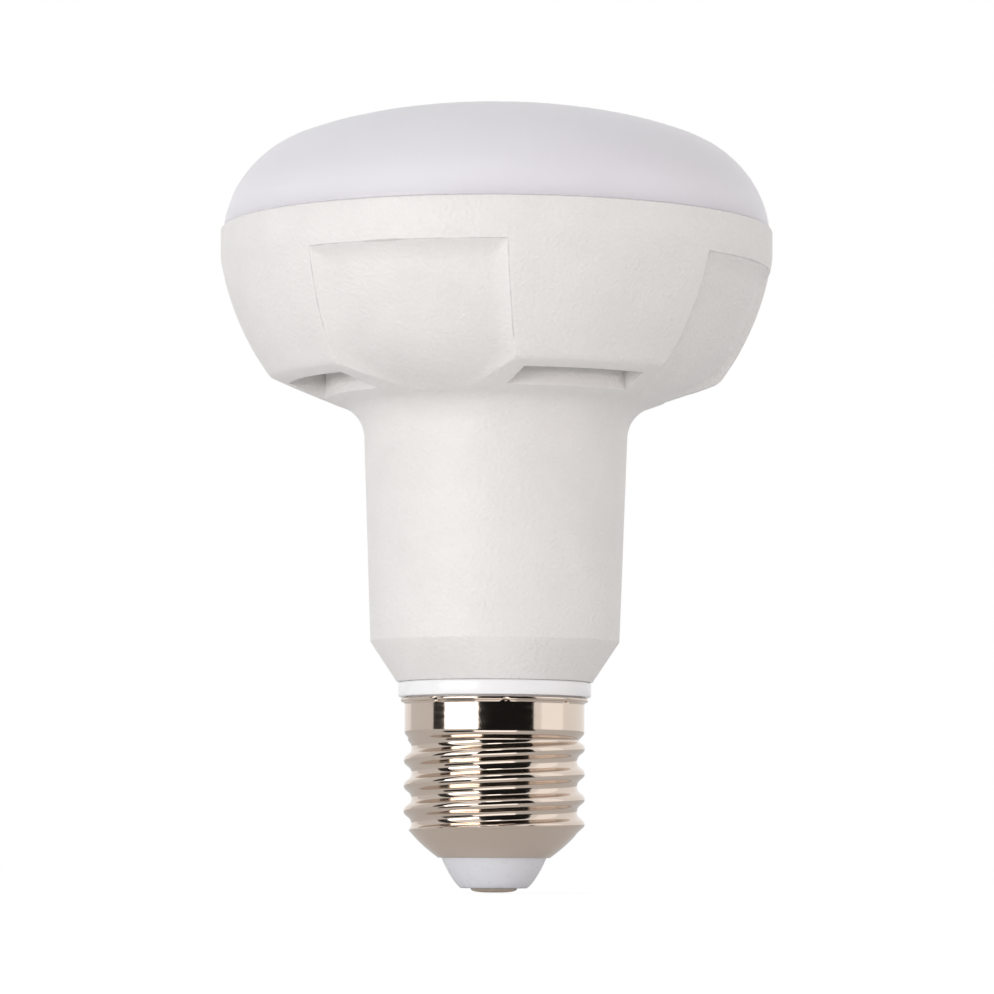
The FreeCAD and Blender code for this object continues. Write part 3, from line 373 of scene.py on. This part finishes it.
neck_top = np.array([NECK_TOP, shoulder_at(NECK_TOP)])
neck_lean = math.atan2(NECK_TOP - NECK_FOOT, neck_top[1] - NECK_FOOT_HEIGHT)
neck_turn = math.radians(90) - SHOULDER_LEAN - neck_lean
bend_reach = NECK_BEND * math.tan(neck_turn / 2)
bend_start = neck_top - bend_reach * np.array([math.sin(neck_lean), math.cos(neck_lean)])
bend = neck_lean + neck_turn * np.linspace(0, 1, 12)
bend_across, bend_up = math.cos(neck_lean) - np.cos(bend), np.sin(bend) - math.sin(neck_lean)
rim = np.concatenate([bowl_rings([90.6]), [
    (RIM, 91.56), (RIM, 93.0), (RIM, 94.4), (RIM, 95.25), (39.91, 95.45), (39.75, 95.56), (39.55, 95.6)]])
outer = np.concatenate([
    [(14.0, 30.2), (14.14, 30.24), (14.22, 30.36)],
    np.linspace((14.3, 30.5), (17.88, 35.88), 5),
    [(17.93, 35.98), (17.955, 36.06)],
    np.linspace((17.97, 36.15), bend_start, 14)[:-1],
    bend_start + NECK_BEND * np.stack([bend_across, bend_up], -1),
    shoulder_rings([22.6, 23.2, PANEL_FOOT, 24.2]),
    shoulder_rings(np.linspace(VENT_IN, VENT_OUT, 15)),
    shoulder_rings([30.6, 31.2, 31.8]),
    shoulder_rings([32.25, 32.55]) + [(0, 0.01), (0, 0.09)],
    bowl_rings(np.linspace(74.35, 86.0, 20)),
    bowl_rings(PANEL_TOP - COVE_ROWS * ROW_RISE),
    rim,
])
print("outer profile has", len(outer), "rings")

# %% [markdown]
# The floor of a panel is its own profile: it leaves the shoulder at a small radius with a steeper
# slope, and a wide arc of 16 mm leads into a sphere 1.1 mm inside the bowl. Each ring of the skin
# gets the floor point that belongs to it, matched by the distance gone along both profiles.

# %% Panel floor
FLOOR_BEND = 16.0
middle = np.array([0, BOWL_CENTRE])
floor_foot = np.array([PANEL_FOOT, shoulder_at(PANEL_FOOT)])
along = np.array([math.cos(PANEL_LEAN), math.sin(PANEL_LEAN)])
across = np.array([-along[1], along[0]])
# The arc's centre lies 16 mm above the floor's line and 16 mm inside the floor's sphere.
middle_to_line = (middle - floor_foot) @ across
centre_to_middle = FLOOR_BOWL - FLOOR_BEND
run = math.sqrt(centre_to_middle**2 - (middle_to_line - FLOOR_BEND) ** 2)
bend_centre = middle + (FLOOR_BEND - middle_to_line) * across + run * along
outward = (bend_centre - middle) / centre_to_middle
line_end = bend_centre - FLOOR_BEND * across
sphere_start = middle + FLOOR_BOWL * outward
arc = np.linspace(math.atan2(*-across[::-1]), math.atan2(*outward[::-1]), 24)
floor_line = np.concatenate([
    np.linspace(floor_foot, line_end, 12)[:-1],
    bend_centre + FLOOR_BEND * np.stack([np.cos(arc), np.sin(arc)], -1),
    bowl_rings(np.linspace(sphere_start[1], 95, 60)[1:], FLOOR_BOWL),
])


def gone(points):
    """Distance gone along a run of points."""
    return np.concatenate([[0], np.cumsum(np.linalg.norm(np.diff(points, axis=0), axis=1))])


def nearest(points, target):
    """Index of the point of a run that is nearest to a target."""
    return int(np.argmin(np.linalg.norm(points - target, axis=1)))


first = nearest(outer, floor_foot)
last = len(outer) - len(rim)
inward = (middle - outer) / np.linalg.norm(middle - outer, axis=1, keepdims=True)
skin_gone, floor_gone = gone(outer), gone(floor_line)
skin_marks = [first, nearest(outer[:last], line_end), nearest(outer[:last], sphere_start), last]
floor_marks = [0, nearest(floor_line, line_end), nearest(floor_line, sphere_start),
               nearest(floor_line, outer[last] + PANEL_DEPTH * inward[last])]
wanted = np.interp(skin_gone, skin_gone[skin_marks], floor_gone[floor_marks])
floor_points = np.stack([np.interp(wanted, floor_gone, floor_line[:, k]) for k in (0, 1)], -1)
depth = np.linalg.norm(floor_points - outer, axis=1)
depth[:first + 1] = 0
ray = (floor_points - outer) / np.maximum(depth, 1e-6)[:, None]
ray[:first + 1] = inward[:first + 1]
ray[last + 1:] = inward[last + 1:]
depth[last + 1:] = depth[last]
print("deepest the floor gets:", round(float(depth.max()), 2), "mm")

# %% [markdown]
# Round each panel the recess comes up in a cove of radius 4.4 mm. The cove's height above the floor
# depends only on the distance from the panel's side or from its top edge, and the skin is wherever
# the cove would rise above it. A smooth maximum rounds that edge a little, as a mould does.

# %% Housing grid
COVE = 4.4
COVE_RUN = math.sqrt(COVE**2 - (COVE - PANEL_DEPTH) ** 2)
PANEL_HALF, PANEL_LOW_HALF, CORNER_BLEND = 14.6, 11.5, 0.07
DRAFT, DRAFT_FOOT = 0.5, 76.0
VENT_HALF, HOOD_CELLS = 9.3, 10
# The second number is the width in millimetres of the painted shade line round each panel.
EDGE_ROUND, EDGE_SHADE_WIDTH = 0.04, 0.13
EDGE_STEPS, LEAST_WIDTH, PAST_COVE = (-0.5, -0.1, 0.0, 0.12), 1.2, 0.6


def cove_rise(distance):
    """Rise of the cove above the floor at a distance from the panel's edge: the radius less the
    side of a right triangle whose other side is what is left of the cove's run.
    """
    left = np.clip(COVE_RUN - distance, 0, COVE * 0.999)
    return COVE - np.sqrt(COVE**2 - left**2)


def angle_of(offset, radius):
    """Angle at which a plane that far from the axis cuts a ring of that radius."""
    return np.arcsin(np.clip(offset / radius, 0, 0.999))


def half_sector(radius, height, depth_here, shaft_half, least):
    """Angles of the rings' columns from a hood's middle to a panel's middle, and the distances of
    those columns from the panel's edge. Spans of a ring are shared out between the planes of the
    shaft's side and the panel's side. Inside the radius `least` the angles no longer change.
    """
    quarter = math.pi / 4
    held = np.maximum(radius, least)
    shaft = angle_of(shaft_half, held)
    draft = DRAFT * np.clip((height - DRAFT_FOOT) / (PANEL_TOP - DRAFT_FOOT), 0, 1)
    side = quarter - angle_of(PANEL_HALF + draft, held)
    low = angle_of(PANEL_LOW_HALF, np.maximum(radius, PANEL_FOOT))
    edge = 0.5 * (side + low + np.sqrt((side - low) ** 2 + CORNER_BLEND**2))
    start = COVE_RUN - np.sqrt(np.maximum(COVE**2 - (COVE - np.minimum(depth_here, PANEL_DEPTH)) ** 2, 0))
    width = np.maximum(COVE_RUN - start, LEAST_WIDTH)
    at_edge = np.broadcast_to(EDGE_STEPS, (len(width), len(EDGE_STEPS)))
    steps = np.concatenate([at_edge, np.linspace(0.4, width, 7, axis=-1), width[:, None] + PAST_COVE], 1)
    coved = edge[:, None] + (start[:, None] + steps) / held[:, None]
    hood = np.linspace(0, shaft, HOOD_CELLS + 1, axis=-1)
    web = np.linspace(shaft, coved[:, 0], 4, axis=-1)[:, 1:-1]
    panel = np.linspace(coved[:, -1], quarter, 7, axis=-1)[:, 1:]
    angles = np.concatenate([hood, web, coved, panel], 1)
    return angles, (angles - edge[:, None]) * held[:, None]


outer_angles, outer_reach = half_sector(outer[:, 0], outer[:, 1], depth, VENT_HALF, VENT_IN)
from_top = skin_gone[nearest(outer, (bowl_at(PANEL_TOP), PANEL_TOP))] - skin_gone
rise = np.maximum(cove_rise(outer_reach), cove_rise(from_top)[:, None])
# More than 1.2 mm above the panel's top edge nothing is recessed, so the rise beats any depth.
rise[from_top < -1.2] = 9.0
cut = depth[:, None] - rise
# A painted shade line follows the panel's edge, where the cove meets the skin; it fades where the recess
# runs shallow.
painted_edge_shade = 0.5 * np.exp(-(cut / EDGE_SHADE_WIDTH) ** 2) * np.clip((depth[:, None] - 0.4) / 0.5, 0, 1)
cut = np.where(cut > -0.9, 0.5 * (cut + np.sqrt(cut**2 + EDGE_ROUND**2)), 0)
cut[:first + 1] = 0
outer_grid = outer[:, None] + ray[:, None] * cut[:, :, None]
HALF = outer_angles.shape[1]
print("columns in a half sector:", HALF)

# %% [markdown]
# The vents are blind shafts, so the cells inside them are lifted to the shaft's ceiling and walls
# join the two levels. The inside of the moulding is closed the same way: it has a boss over each
# shaft. One period of columns is mirrored about the panel's middle and repeated four times.

# %% Housing solid
INNER_BOWL, BORE, FOOT_BORE = 37.7, 16.2, 12.6
BOSS_HALF, BOSS_IN, BOSS_OUT_HEIGHT = 10.8, (23.15, 72.22), 77.343
VENT_CEILING, BOSS_TOP = 82.0, 83.5

inner = np.concatenate([
    [(38.35, 95.6), (38.1, 95.5), (38.0, 95.25), (38.0, 91.0), (36.4, 91.0)],
    bowl_rings(np.linspace(88.1, BOSS_OUT_HEIGHT, 8), INNER_BOWL),
    np.linspace((30.5, 75.65), BOSS_IN, 6),
    [(20.0, 70.75), (BORE, 68.98), (BORE, 52.0), (BORE, 36.5), (13.9, 36.5), (13.9, 32.2)],
    [(FOOT_BORE, 32.2), (FOOT_BORE, 30.2)],
])
# The inside has no panels, so neither their draft nor their depth moves its columns.
nought = np.zeros(len(inner))
inner_angles, _ = half_sector(inner[:, 0], nought, nought, BOSS_HALF, BOSS_IN[0])
half_angles = np.concatenate([outer_angles, inner_angles])
half_points = np.concatenate([outer_grid, np.repeat(inner[:, None], HALF, 1)])
# Only the outside carries the painted edge shade; the inside's points get none.
half_edge_shade = np.concatenate([painted_edge_shade, np.zeros_like(inner_angles)])
there = np.arange(HALF - 1)
back = np.arange(HALF - 1, 0, -1)
both_ways = np.concatenate([there, back])
angles = np.concatenate([half_angles[:, there], math.pi / 2 - half_angles[:, back]], 1)
angles = np.concatenate([angles + k * math.pi / 2 for k in range(4)], 1)
points = np.tile(half_points[:, both_ways], (1, 4, 1))
housing_grid = around(points, angles)


def raised(grid, lifted, level):
    """Quads that lift the marked cells to a level: the cells themselves at that height, and a wall
    wherever a lifted cell has a neighbour that stays.
    """
    high = grid.copy()
    high[..., 2] = level[:, None]
    next_ring = [np.roll(g, -1, 0) for g in (grid, high)]
    next_column = [np.roll(g, -1, 1) for g in (grid, high)]
    corner = np.roll(next_column[1], -1, 0)
    lid = np.stack([high, next_column[1], corner, next_ring[1]], 2)[lifted]
    ring_wall = np.stack([grid, next_column[0], next_column[1], high], 2)
    column_wall = np.stack([next_ring[0], grid, high, next_ring[1]], 2)
    below, before = np.roll(lifted, 1, 0), np.roll(lifted, 1, 1)
    return np.concatenate([
        lid,
        ring_wall[lifted & ~below],
        ring_wall[~lifted & below][:, [1, 0, 3, 2]],
        column_wall[lifted & ~before],
        column_wall[~lifted & before][:, [1, 0, 3, 2]],
    ])


rings = points[:, 0]
period = 2 * (HALF - 1)
place = np.arange(4 * period) % period
in_hood = (place < HOOD_CELLS) | (place >= period - HOOD_CELLS)
lifted = np.zeros(housing_grid.shape[:2], bool)
for start, end in (
    ((VENT_IN, shoulder_at(VENT_IN)), (VENT_OUT, shoulder_at(VENT_OUT))),
    ((bowl_at(BOSS_OUT_HEIGHT, INNER_BOWL), BOSS_OUT_HEIGHT), BOSS_IN),
):
    lifted[nearest(rings, start):nearest(rings, end)] = in_hood
level = np.where(np.arange(len(rings)) < len(outer), VENT_CEILING, BOSS_TOP)
housing = surface("housing_skin", housing_grid, keep=~lifted, extra=raised(housing_grid, lifted, level),
                  sharp=26, edge=np.tile(half_edge_shade[:, both_ways], (1, 4)))

# %% [markdown]
# Four posts inside hold the plates' screws, one in the middle of each boss. A post is one turned
# tube, so the tube is worked out once and moved to each place on the posts' circle.

# %% Screw posts
POST_CIRCLE, POST_HOLE, POST_OUT, POST_TOP = (VENT_IN + VENT_OUT) / 2, 1.5, 3.2, 91.0

tube = turned(rounded([(POST_HOLE, BOSS_TOP, 0), (POST_OUT, BOSS_TOP, 0), (POST_OUT, POST_TOP, 0.2),
                       (POST_HOLE, POST_TOP, 0.2)], 3), 32)
quarters = np.arange(4) * TAU / 4
posts = [tube + POST_CIRCLE * np.array([math.cos(turn), math.sin(turn), 0]) for turn in quarters]
other_posts = np.concatenate([cells(post).reshape(-1, 4, 3) for post in posts[1:]])
post_set = surface("screw_posts", posts[0], extra=other_posts)

# %% [markdown]
# The housing is a matt warm white with a fine orange peel, as a textured mould leaves it. The grain
# is about half a millimetre across and less than a tenth of a millimetre high, so it shows only
# where light grazes. A hairline of painted shade darkens the colour round each panel's edge, where
# the edge shades itself, and it is uneven with the colour's broad noise.

# %% Housing finish
moulded = finish("moulded_white", linear(240, 237, 235), 0.46, grain=1800, blotch=0.02, bump=0.18, edge_shade=0.24,
                 Specular_IOR_Level=0.5, IOR=1.5, Subsurface_Weight=0.2, Subsurface_Scale=0.003,
                 Subsurface_Radius=(1, 1, 1))
dress(housing, moulded, "housing_white", "housing")
dress(post_set, moulded, "housing_white")

# %% [markdown]
# ## The collar
#
# A glossy white ring shows between housing and cap. It is the rim of a plastic spigot that reaches
# down inside the shell and clips into the housing above.

# %% Collar
SPIGOT_BORE, SPIGOT_OUT, NECK_OUT, COLLAR_OUT = 9.9, 11.4, 12.4, 13.9
COLLAR_FOOT, COLLAR_TOP = 28.02, 30.18
collar = surface("collar", turned(rounded([
    (SPIGOT_BORE, 13.0, 0.3), (SPIGOT_OUT, 13.0, 0.3), (SPIGOT_OUT, 23.1, 0), (12.5, 23.1, 0.1),
    (12.5, COLLAR_FOOT, 0), (COLLAR_OUT, COLLAR_FOOT, 0.3), (COLLAR_OUT, COLLAR_TOP, 0.35),
    (NECK_OUT, COLLAR_TOP, 0), (NECK_OUT, 32.35, 0), (13.15, 32.35, 0.1), (NECK_OUT, 34.55, 0.2),
    (SPIGOT_BORE, 34.6, 0.1),
]), 160))
glossy = finish("collar_plastic", linear(250, 250, 251), 0.22, grain=300, blotch=0.008, bump=0.006,
                Specular_IOR_Level=0.5, IOR=1.5)
dress(collar, glossy, "collar_white", "cap_collar")

# %% [markdown]
# ## The screw cap
#
# The shell is thin plated sheet, rolled into the standard E27 thread: a right-hand wave of pitch
# 3.63 mm whose crests are a little narrower than its roots. Below, the thread dies away into a cone
# that is slightly bulged, and above it dies into a plain band. The band ends in a flare with a row
# of small punch marks.

# %% Cap shape
THREAD_PITCH, ROOT, CREST, CREST_HEIGHT = 3.63, 11.95, 13.05, 20.97
CONE_FOOT, CONE_TOP, CONE_FOOT_RADIUS, CONE_BULGE = 5.0, 8.5, 8.1, 0.25
THREAD_TOP, THREAD_FADE = 22.7, 1.2
BAND, BAND_FOOT, BAND_BEND, BAND_DROP, SHEET = 12.96, 21.6, 1.35, 1.3, 0.42
CONE_BLEND, BAND_BLEND = 0.12, 0.10
MARKS, MARK_TURN, MARK_HEIGHT, MARK_WIDTH, MARK_DEPTH = 8, math.radians(26.6), 27.35, 0.4, 0.42
FLARE = 13.5


def soft_least(one, other, blend):
    """Smooth minimum: half the sum less half the root of the squared difference and the blend."""
    return 0.5 * (one + other - np.sqrt((one - other) ** 2 + blend**2))


def crested(cosine):
    """Cosine less a quarter, times 1.1, and then its hyperbolic tangent: the crests get narrower."""
    return np.tanh(1.1 * (cosine - 0.25))


def shell_radius(height, angle):
    """Radius of the shell: a wave whose crest climbs one pitch a turn, kept under the cone's line
    and over the band's, each by a smooth minimum or maximum.
    """
    phase = (height - CREST_HEIGHT) / THREAD_PITCH - angle / TAU
    fade = np.clip((THREAD_TOP - height) / THREAD_FADE, 0, 1)
    least, most = crested(np.array([-1, 1]))
    wave = ROOT + (CREST - ROOT) * fade * (crested(np.cos(TAU * phase)) - least) / (most - least)
    # The product of the ways to the cone's two ends is 3.06 halfway up.
    bulge = CONE_BULGE * np.clip((height - CONE_FOOT) * (CONE_TOP - height), 0, None) / 3.06
    slope = (ROOT - CONE_FOOT_RADIUS) / (CONE_TOP - CONE_FOOT)
    cone = CONE_FOOT_RADIUS + (height - CONE_FOOT) * slope + bulge
    band = BAND - BAND_DROP * np.clip(1 - (height - BAND_FOOT) / BAND_BEND, 0, 4) ** 1.5
    radius = soft_least(wave, np.broadcast_to(cone, wave.shape), CONE_BLEND)
    return -soft_least(-radius, -np.broadcast_to(band, wave.shape), BAND_BLEND)


wheel = np.linspace(0, TAU, 240, endpoint=False)


def shell_rings(heights, inset=0.0):
    """Rings of (radius, height) points of the shell's outside, or of a skin inside it."""
    heights = heights[:, None]
    return np.stack(np.broadcast_arrays(shell_radius(heights, wheel) - inset, heights), -1)


def plain_rings(profile):
    """Rings of (radius, height) points that are the same all round."""
    return np.repeat(np.array(profile)[:, None], wheel.size, 1)


flare = plain_rings([(13.04, 27.22), (13.28, 27.27), (13.4, 27.33), (13.46, 27.4), (13.48, 27.5),
                     (13.48, 27.62), (13.46, 27.74), (13.38, 27.82)])
from_mark = (wheel - MARK_TURN + TAU / (2 * MARKS)) % (TAU / MARKS) - TAU / (2 * MARKS)
apart = ((FLARE * from_mark[None]) ** 2 + (flare[..., 1] - MARK_HEIGHT) ** 2) / MARK_WIDTH**2
flare[..., 0] -= MARK_DEPTH * np.exp(-apart)
shell = np.concatenate([
    shell_rings(np.concatenate([np.linspace(CONE_FOOT, 26.7, 118), [26.9, 27.0]])),
    flare,
    plain_rings([(12.75, 27.82), (12.62, 27.5)]),
    shell_rings(np.linspace(26.6, 5.3, 42), SHEET),
    plain_rings([(7.95, 4.99), (8.04, 4.96)]),
])
cap = surface("cap_thread", around(shell, wheel), sharp=60)
print("cap's widest radius:", round(float(shell[..., 0].max()), 2))

# %% [markdown]
# Bright nickel is a metal: its colour is in its reflections, here a faintly warm grey. A little
# roughness and some fine drawn lines round the shell keep it from looking like a mirror.

# %% Cap finish
nickel = finish("nickel_plate", linear(213, 198, 185), 0.1, grain=260, bump=0.004, stretch=(1, 1, 6),
                Metallic=1.0)
dress(cap, nickel, "plated_cap", "cap_shell")

# %% [markdown]
# ## The insulator and the contact
#
# The opening at the shell's foot holds a pale grey insulator, moulded with a soft bulge, and in its
# middle sits the round contact, a soldered button of dull tinned brass.

# %% Insulator and contact
FLANK_FOOT, FLANK_TOP = np.array([4.75, 0.62]), np.array([7.58, 5.0])
CONTACT_BORE = 1.5
# The flank is a straight line with some of an arc's fullness mixed in.
angle = np.radians(np.linspace(8, 80, 9))
full, climb = np.sin(angle) ** 1.1, 1 - np.cos(angle)
full, climb = [(v - v[0]) / (v[-1] - v[0]) for v in (full, climb)]
flank = FLANK_FOOT + (FLANK_TOP - FLANK_FOOT) * np.stack([0.4 * full + 0.6 * climb, climb], -1)
insulator = surface("insulator", turned(np.concatenate([
    [(CONTACT_BORE, 0.6), (4.4, 0.6), (4.62, 0.61)],
    flank,
    [(7.75, 5.05), (9.15, 6.55), (9.15, 7.85), (7.6, 7.9), (5.0, 3.0), (CONTACT_BORE, 3.0)],
]), 128))
vitreous = finish("grey_insulator", linear(226, 227, 232), 0.3, grain=500, blotch=0.02, bump=0.01,
                  Specular_IOR_Level=0.5, IOR=1.52)
dress(insulator, vitreous, "insulator_grey", "cap_insulator")
contact = surface("contact_button", turned(np.array([
    (0, 0.0), (1.2, 0.01), (2.1, 0.06), (2.7, 0.14), (3.1, 0.26), (3.3, 0.4), (3.36, 0.52), (3.3, 0.6),
    (1.48, 0.6), (1.48, 6.35), (1.3, 6.4), (0, 6.4),
]), 96))
solder = finish("tinned_brass", linear(232, 219, 203), 0.34, grain=900, blotch=0.06, Metallic=0.8)
dress(contact, solder, "contact_metal", "centre_contact")

# %% [markdown]
# ## What is inside
#
# The light engine and the driver are hidden behind the dome and the housing. Their CAD solids stay
# as they are, and each slot gets its own finish: brushed aluminium, solder mask, enamelled copper.

# %% Inner finishes
INNER_FINISHES = {
    "aluminium_plate": ((190, 190, 192), 0.34,
                        dict(grain=900, Metallic=1.0, stretch=(0.05, 1, 1), bump=0.01)),
    "light_board": ((244, 244, 240), 0.4, dict(grain=1500, bump=0.004)),
    "chip_yellow": ((238, 204, 92), 0.2, dict(grain=3000, blotch=0.06)),
    "screw_steel": ((180, 180, 184), 0.3, dict(grain=1200, Metallic=1.0)),
    "connector_white": ((232, 228, 216), 0.45, dict(grain=900)),
    "lead_red": ((178, 30, 24), 0.4, dict(grain=700)),
    "lead_black": ((24, 24, 25), 0.4, dict(grain=700)),
    "sleeve_white": ((226, 226, 220), 0.5, dict(grain=800)),
    "board_green": ((34, 96, 52), 0.35, dict(grain=1400, blotch=0.12)),
    "ferrite_grey": ((62, 62, 65), 0.75, dict(grain=2600, blotch=0.15, bump=0.03)),
    "tape_yellow": ((222, 188, 54), 0.3, dict(grain=500, stretch=(1, 1, 8))),
    "capacitor_black": ((22, 22, 27), 0.28, dict(grain=600)),
    "film_red": ((150, 42, 28), 0.3, dict(grain=500, blotch=0.08)),
    "varistor_blue": ((26, 62, 140), 0.25, dict(grain=500, blotch=0.08)),
    "package_black": ((30, 30, 31), 0.6, dict(grain=2400, bump=0.01)),
    "coil_copper": ((186, 104, 60), 0.32, dict(grain=2600, Metallic=1.0, stretch=(0.1, 1, 0.1), bump=0.05)),
    "resistor_green": ((92, 132, 104), 0.5, dict(grain=1500, blotch=0.08)),
    "bare_wire": ((196, 194, 188), 0.3, dict(grain=1000, Metallic=1.0)),
}
slot_of = {part["node"]: part["material_slot"] for part in frame["record"]["subparts"]}
inner_finish = {slot: finish(slot, linear(*colour), roughness, **more)
                for slot, (colour, roughness, more) in INNER_FINISHES.items()}
for node, piece in frame["nodes"].items():
    if slot_of[node] in inner_finish:
        piece.data.materials.clear()
        piece.data.materials.append(inner_finish[slot_of[node]])
print(len(inner_finish), "inner finishes")

# %% [markdown]
# ## The studio
#
# The background is pure white, but a white room would wash the lamp out. Camera, mirror and glass
# rays see the world as white, and every other ray sees a dimmer sky.

# %% World
SKY = 0.57
world = bpy.data.worlds.new("white_room")
scene.world = world
world.use_nodes = True
background = world.node_tree.nodes["Background"]
background.inputs["Color"].default_value = (1, 1, 1, 1)
path = new_node(world.node_tree, "ShaderNodeLightPath")
seen = new_node(world.node_tree, "ShaderNodeMath")
seen.operation = "MAXIMUM"
mirrored = new_node(world.node_tree, "ShaderNodeMath")
mirrored.operation = "MAXIMUM"
strength = new_node(world.node_tree, "ShaderNodeMapRange", To_Min=SKY, To_Max=1.0)
join(path, "Is Camera Ray", seen, 0)
join(path, "Is Transmission Ray", seen, 1)
join(seen, 0, mirrored, 0)
join(path, "Is Glossy Ray", mirrored, 1)
join(mirrored, 0, strength, "Value")
join(strength, "Result", background, "Strength")
print("the sky gives", SKY, "of white")

# %% [markdown]
# The floor shows white too, and keeps the lamp's shadow: to the camera it is a dull diffuse sheet
# with a glow of its own that makes up what the sheet lacks. Mirror rays see a little of that glow,
# and for all other rays it is a plain pale sheet. From below it is clear, so that the underside can
# be looked at.

# %% Floor
FLOOR_SHADE, FLOOR_GLOW, FLOOR_PLAIN, GLOSSY_SHARE = 0.55, 0.69, 0.9, 0.15
FLOOR_HALF, FLOOR_DROP = 6, -0.0001


def flat(name, corners, material):
    """One quad with a material."""
    mesh = bpy.data.meshes.new(name)
    mesh.from_pydata([tuple(corner) for corner in corners], [], [(0, 1, 2, 3)])
    card = bpy.data.objects.new(name, mesh)
    scene.collection.objects.link(card)
    card.data.materials.append(material)
    return card


def grey(level):
    """Colour with all three shares at one level."""
    return (level, level, level, 1)


ground = bpy.data.materials.new("pale_floor")
ground.use_nodes = True
tree = ground.node_tree
tree.nodes.clear()
shaded = new_node(tree, "ShaderNodeBsdfDiffuse", Color=grey(FLOOR_SHADE))
glow = new_node(tree, "ShaderNodeEmission", Color=grey(1), Strength=FLOOR_GLOW)
glowing = new_node(tree, "ShaderNodeAddShader")
plain = new_node(tree, "ShaderNodeBsdfDiffuse", Color=grey(FLOOR_PLAIN))
path = new_node(tree, "ShaderNodeLightPath")
share = new_node(tree, "ShaderNodeMath")
share.operation = "MULTIPLY_ADD"
share.inputs[1].default_value = GLOSSY_SHARE
choice = new_node(tree, "ShaderNodeMixShader")
side = new_node(tree, "ShaderNodeNewGeometry")
clear = new_node(tree, "ShaderNodeBsdfTransparent")
sided = new_node(tree, "ShaderNodeMixShader")
result = new_node(tree, "ShaderNodeOutputMaterial")
join(shaded, 0, glowing, 0)
join(glow, 0, glowing, 1)
join(path, "Is Glossy Ray", share, 0)
join(path, "Is Camera Ray", share, 2)
join(share, 0, choice, 0)
join(plain, 0, choice, 1)
join(glowing, 0, choice, 2)
join(side, "Backfacing", sided, 0)
join(choice, 0, sided, 1)
join(clear, 0, sided, 2)
join(sided, 0, result, "Surface")
sides = [(-1, -1), (1, -1), (1, 1), (-1, 1)]
flat("floor", [(x * FLOOR_HALF, y * FLOOR_HALF, FLOOR_DROP) for x, y in sides], ground)
print("the floor is", 2 * FLOOR_HALF, "m wide")

# %% [markdown]
# Lamps and cards are placed by their bearing, where 0 is towards the camera and a plus is to its
# right. A wide soft box at the left is the key light. A weaker, warmer one fills from the right, a
# small one lights the dome from above, and a low strip at the left reaches under the hoods. The
# fill and the strip don't show in reflections.
#
# The cap mirrors the room, so cards that only reflections see make its stripes. The cap's plain
# band shows the key as a white stripe, between a thin dark flag at its left and a broad dark side
# at its right. The thread's lower flanks look down: they see the dark side run on over the floor,
# and near the lamp a bright card with a dark one beside it, which breaks up their stripes. Pale
# walls stand at both sides.

# %% Lamps and cards
AIM = Vector((0, 0, 0.06))
# Places on the floor or over it, each by its height in degrees and its distance from the aim.
FLOOR_AT_FOOT, FLOOR_NEAR, FLOOR_FAR = (-63.2, 0.0666), (-42.5, 0.0881), (-1.7, 2.0)


def towards(bearing, height, distance):
    """Point at a bearing and height in degrees and a distance in metres from the aim."""
    turned_by, raised_by = math.radians(bearing), math.radians(height)
    flat_way = -ahead * math.cos(turned_by) + aside * math.sin(turned_by)
    return AIM + (flat_way * math.cos(raised_by) + up * math.sin(raised_by)) * distance


def soft_box(name, bearing, height, distance, size, watts, mirrored=True, colour=(1, 1, 1)):
    """Rectangular area lamp that faces the aim."""
    light = bpy.data.lights.new(name, "AREA")
    light.shape = "RECTANGLE"
    light.size, light.size_y = size
    light.energy = watts
    light.color = colour
    lamp = bpy.data.objects.new(name, light)
    scene.collection.objects.link(lamp)
    lamp.location = towards(bearing, height, distance)
    lamp.rotation_euler = (lamp.location - AIM).to_track_quat("Z", "Y").to_euler()
    lamp.visible_glossy = mirrored


def mirror_card(name, left, right, foot, head, level):
    """Card between two bearings that only reflections see. Its foot and head are each a height in
    degrees and a distance.
    """
    material = bpy.data.materials.new(name)
    material.use_nodes = True
    material.node_tree.nodes.clear()
    light = new_node(material.node_tree, "ShaderNodeEmission", Color=grey(level), Strength=1.0)
    join(light, 0, new_node(material.node_tree, "ShaderNodeOutputMaterial"), "Surface")
    corners = [towards(left, *foot), towards(right, *foot), towards(right, *head), towards(left, *head)]
    card = flat(name, corners, material)
    card.visible_camera = card.visible_diffuse = card.visible_transmission = card.visible_shadow = False


soft_box("key", -43.5, 4, 1.3, (1.06, 0.24), 4.7)
soft_box("top", -4, 52, 1.4, (0.4, 0.25), 0.8)
soft_box("fill", 42, 1.5, 1.6, (0.9, 0.14), 3.9, mirrored=False, colour=(1.0, 0.9, 0.87))
soft_box("low", -40, -1.4, 1.0, (0.9, 0.05), 1.1, mirrored=False)
mirror_card("dark_side", -21, 51, FLOOR_FAR, (46, 2.0), 0.012)
mirror_card("dark_front", -21, 51, FLOOR_NEAR, FLOOR_FAR, 0.02)
mirror_card("near_left", -66, -25, FLOOR_AT_FOOT, FLOOR_NEAR, 0.02)
mirror_card("near_front", -25, 27, FLOOR_AT_FOOT, FLOOR_NEAR, 1.7)
mirror_card("far_flag", -85, -66, FLOOR_FAR, (62, 2.0), 0.03)
mirror_card("left_wall", -135, -86, FLOOR_FAR, (62, 2.0), 0.74)
mirror_card("right_wall", 62, 98, FLOOR_FAR, (50, 2.0), 1.25)
print(len(bpy.data.lights), "lamps")
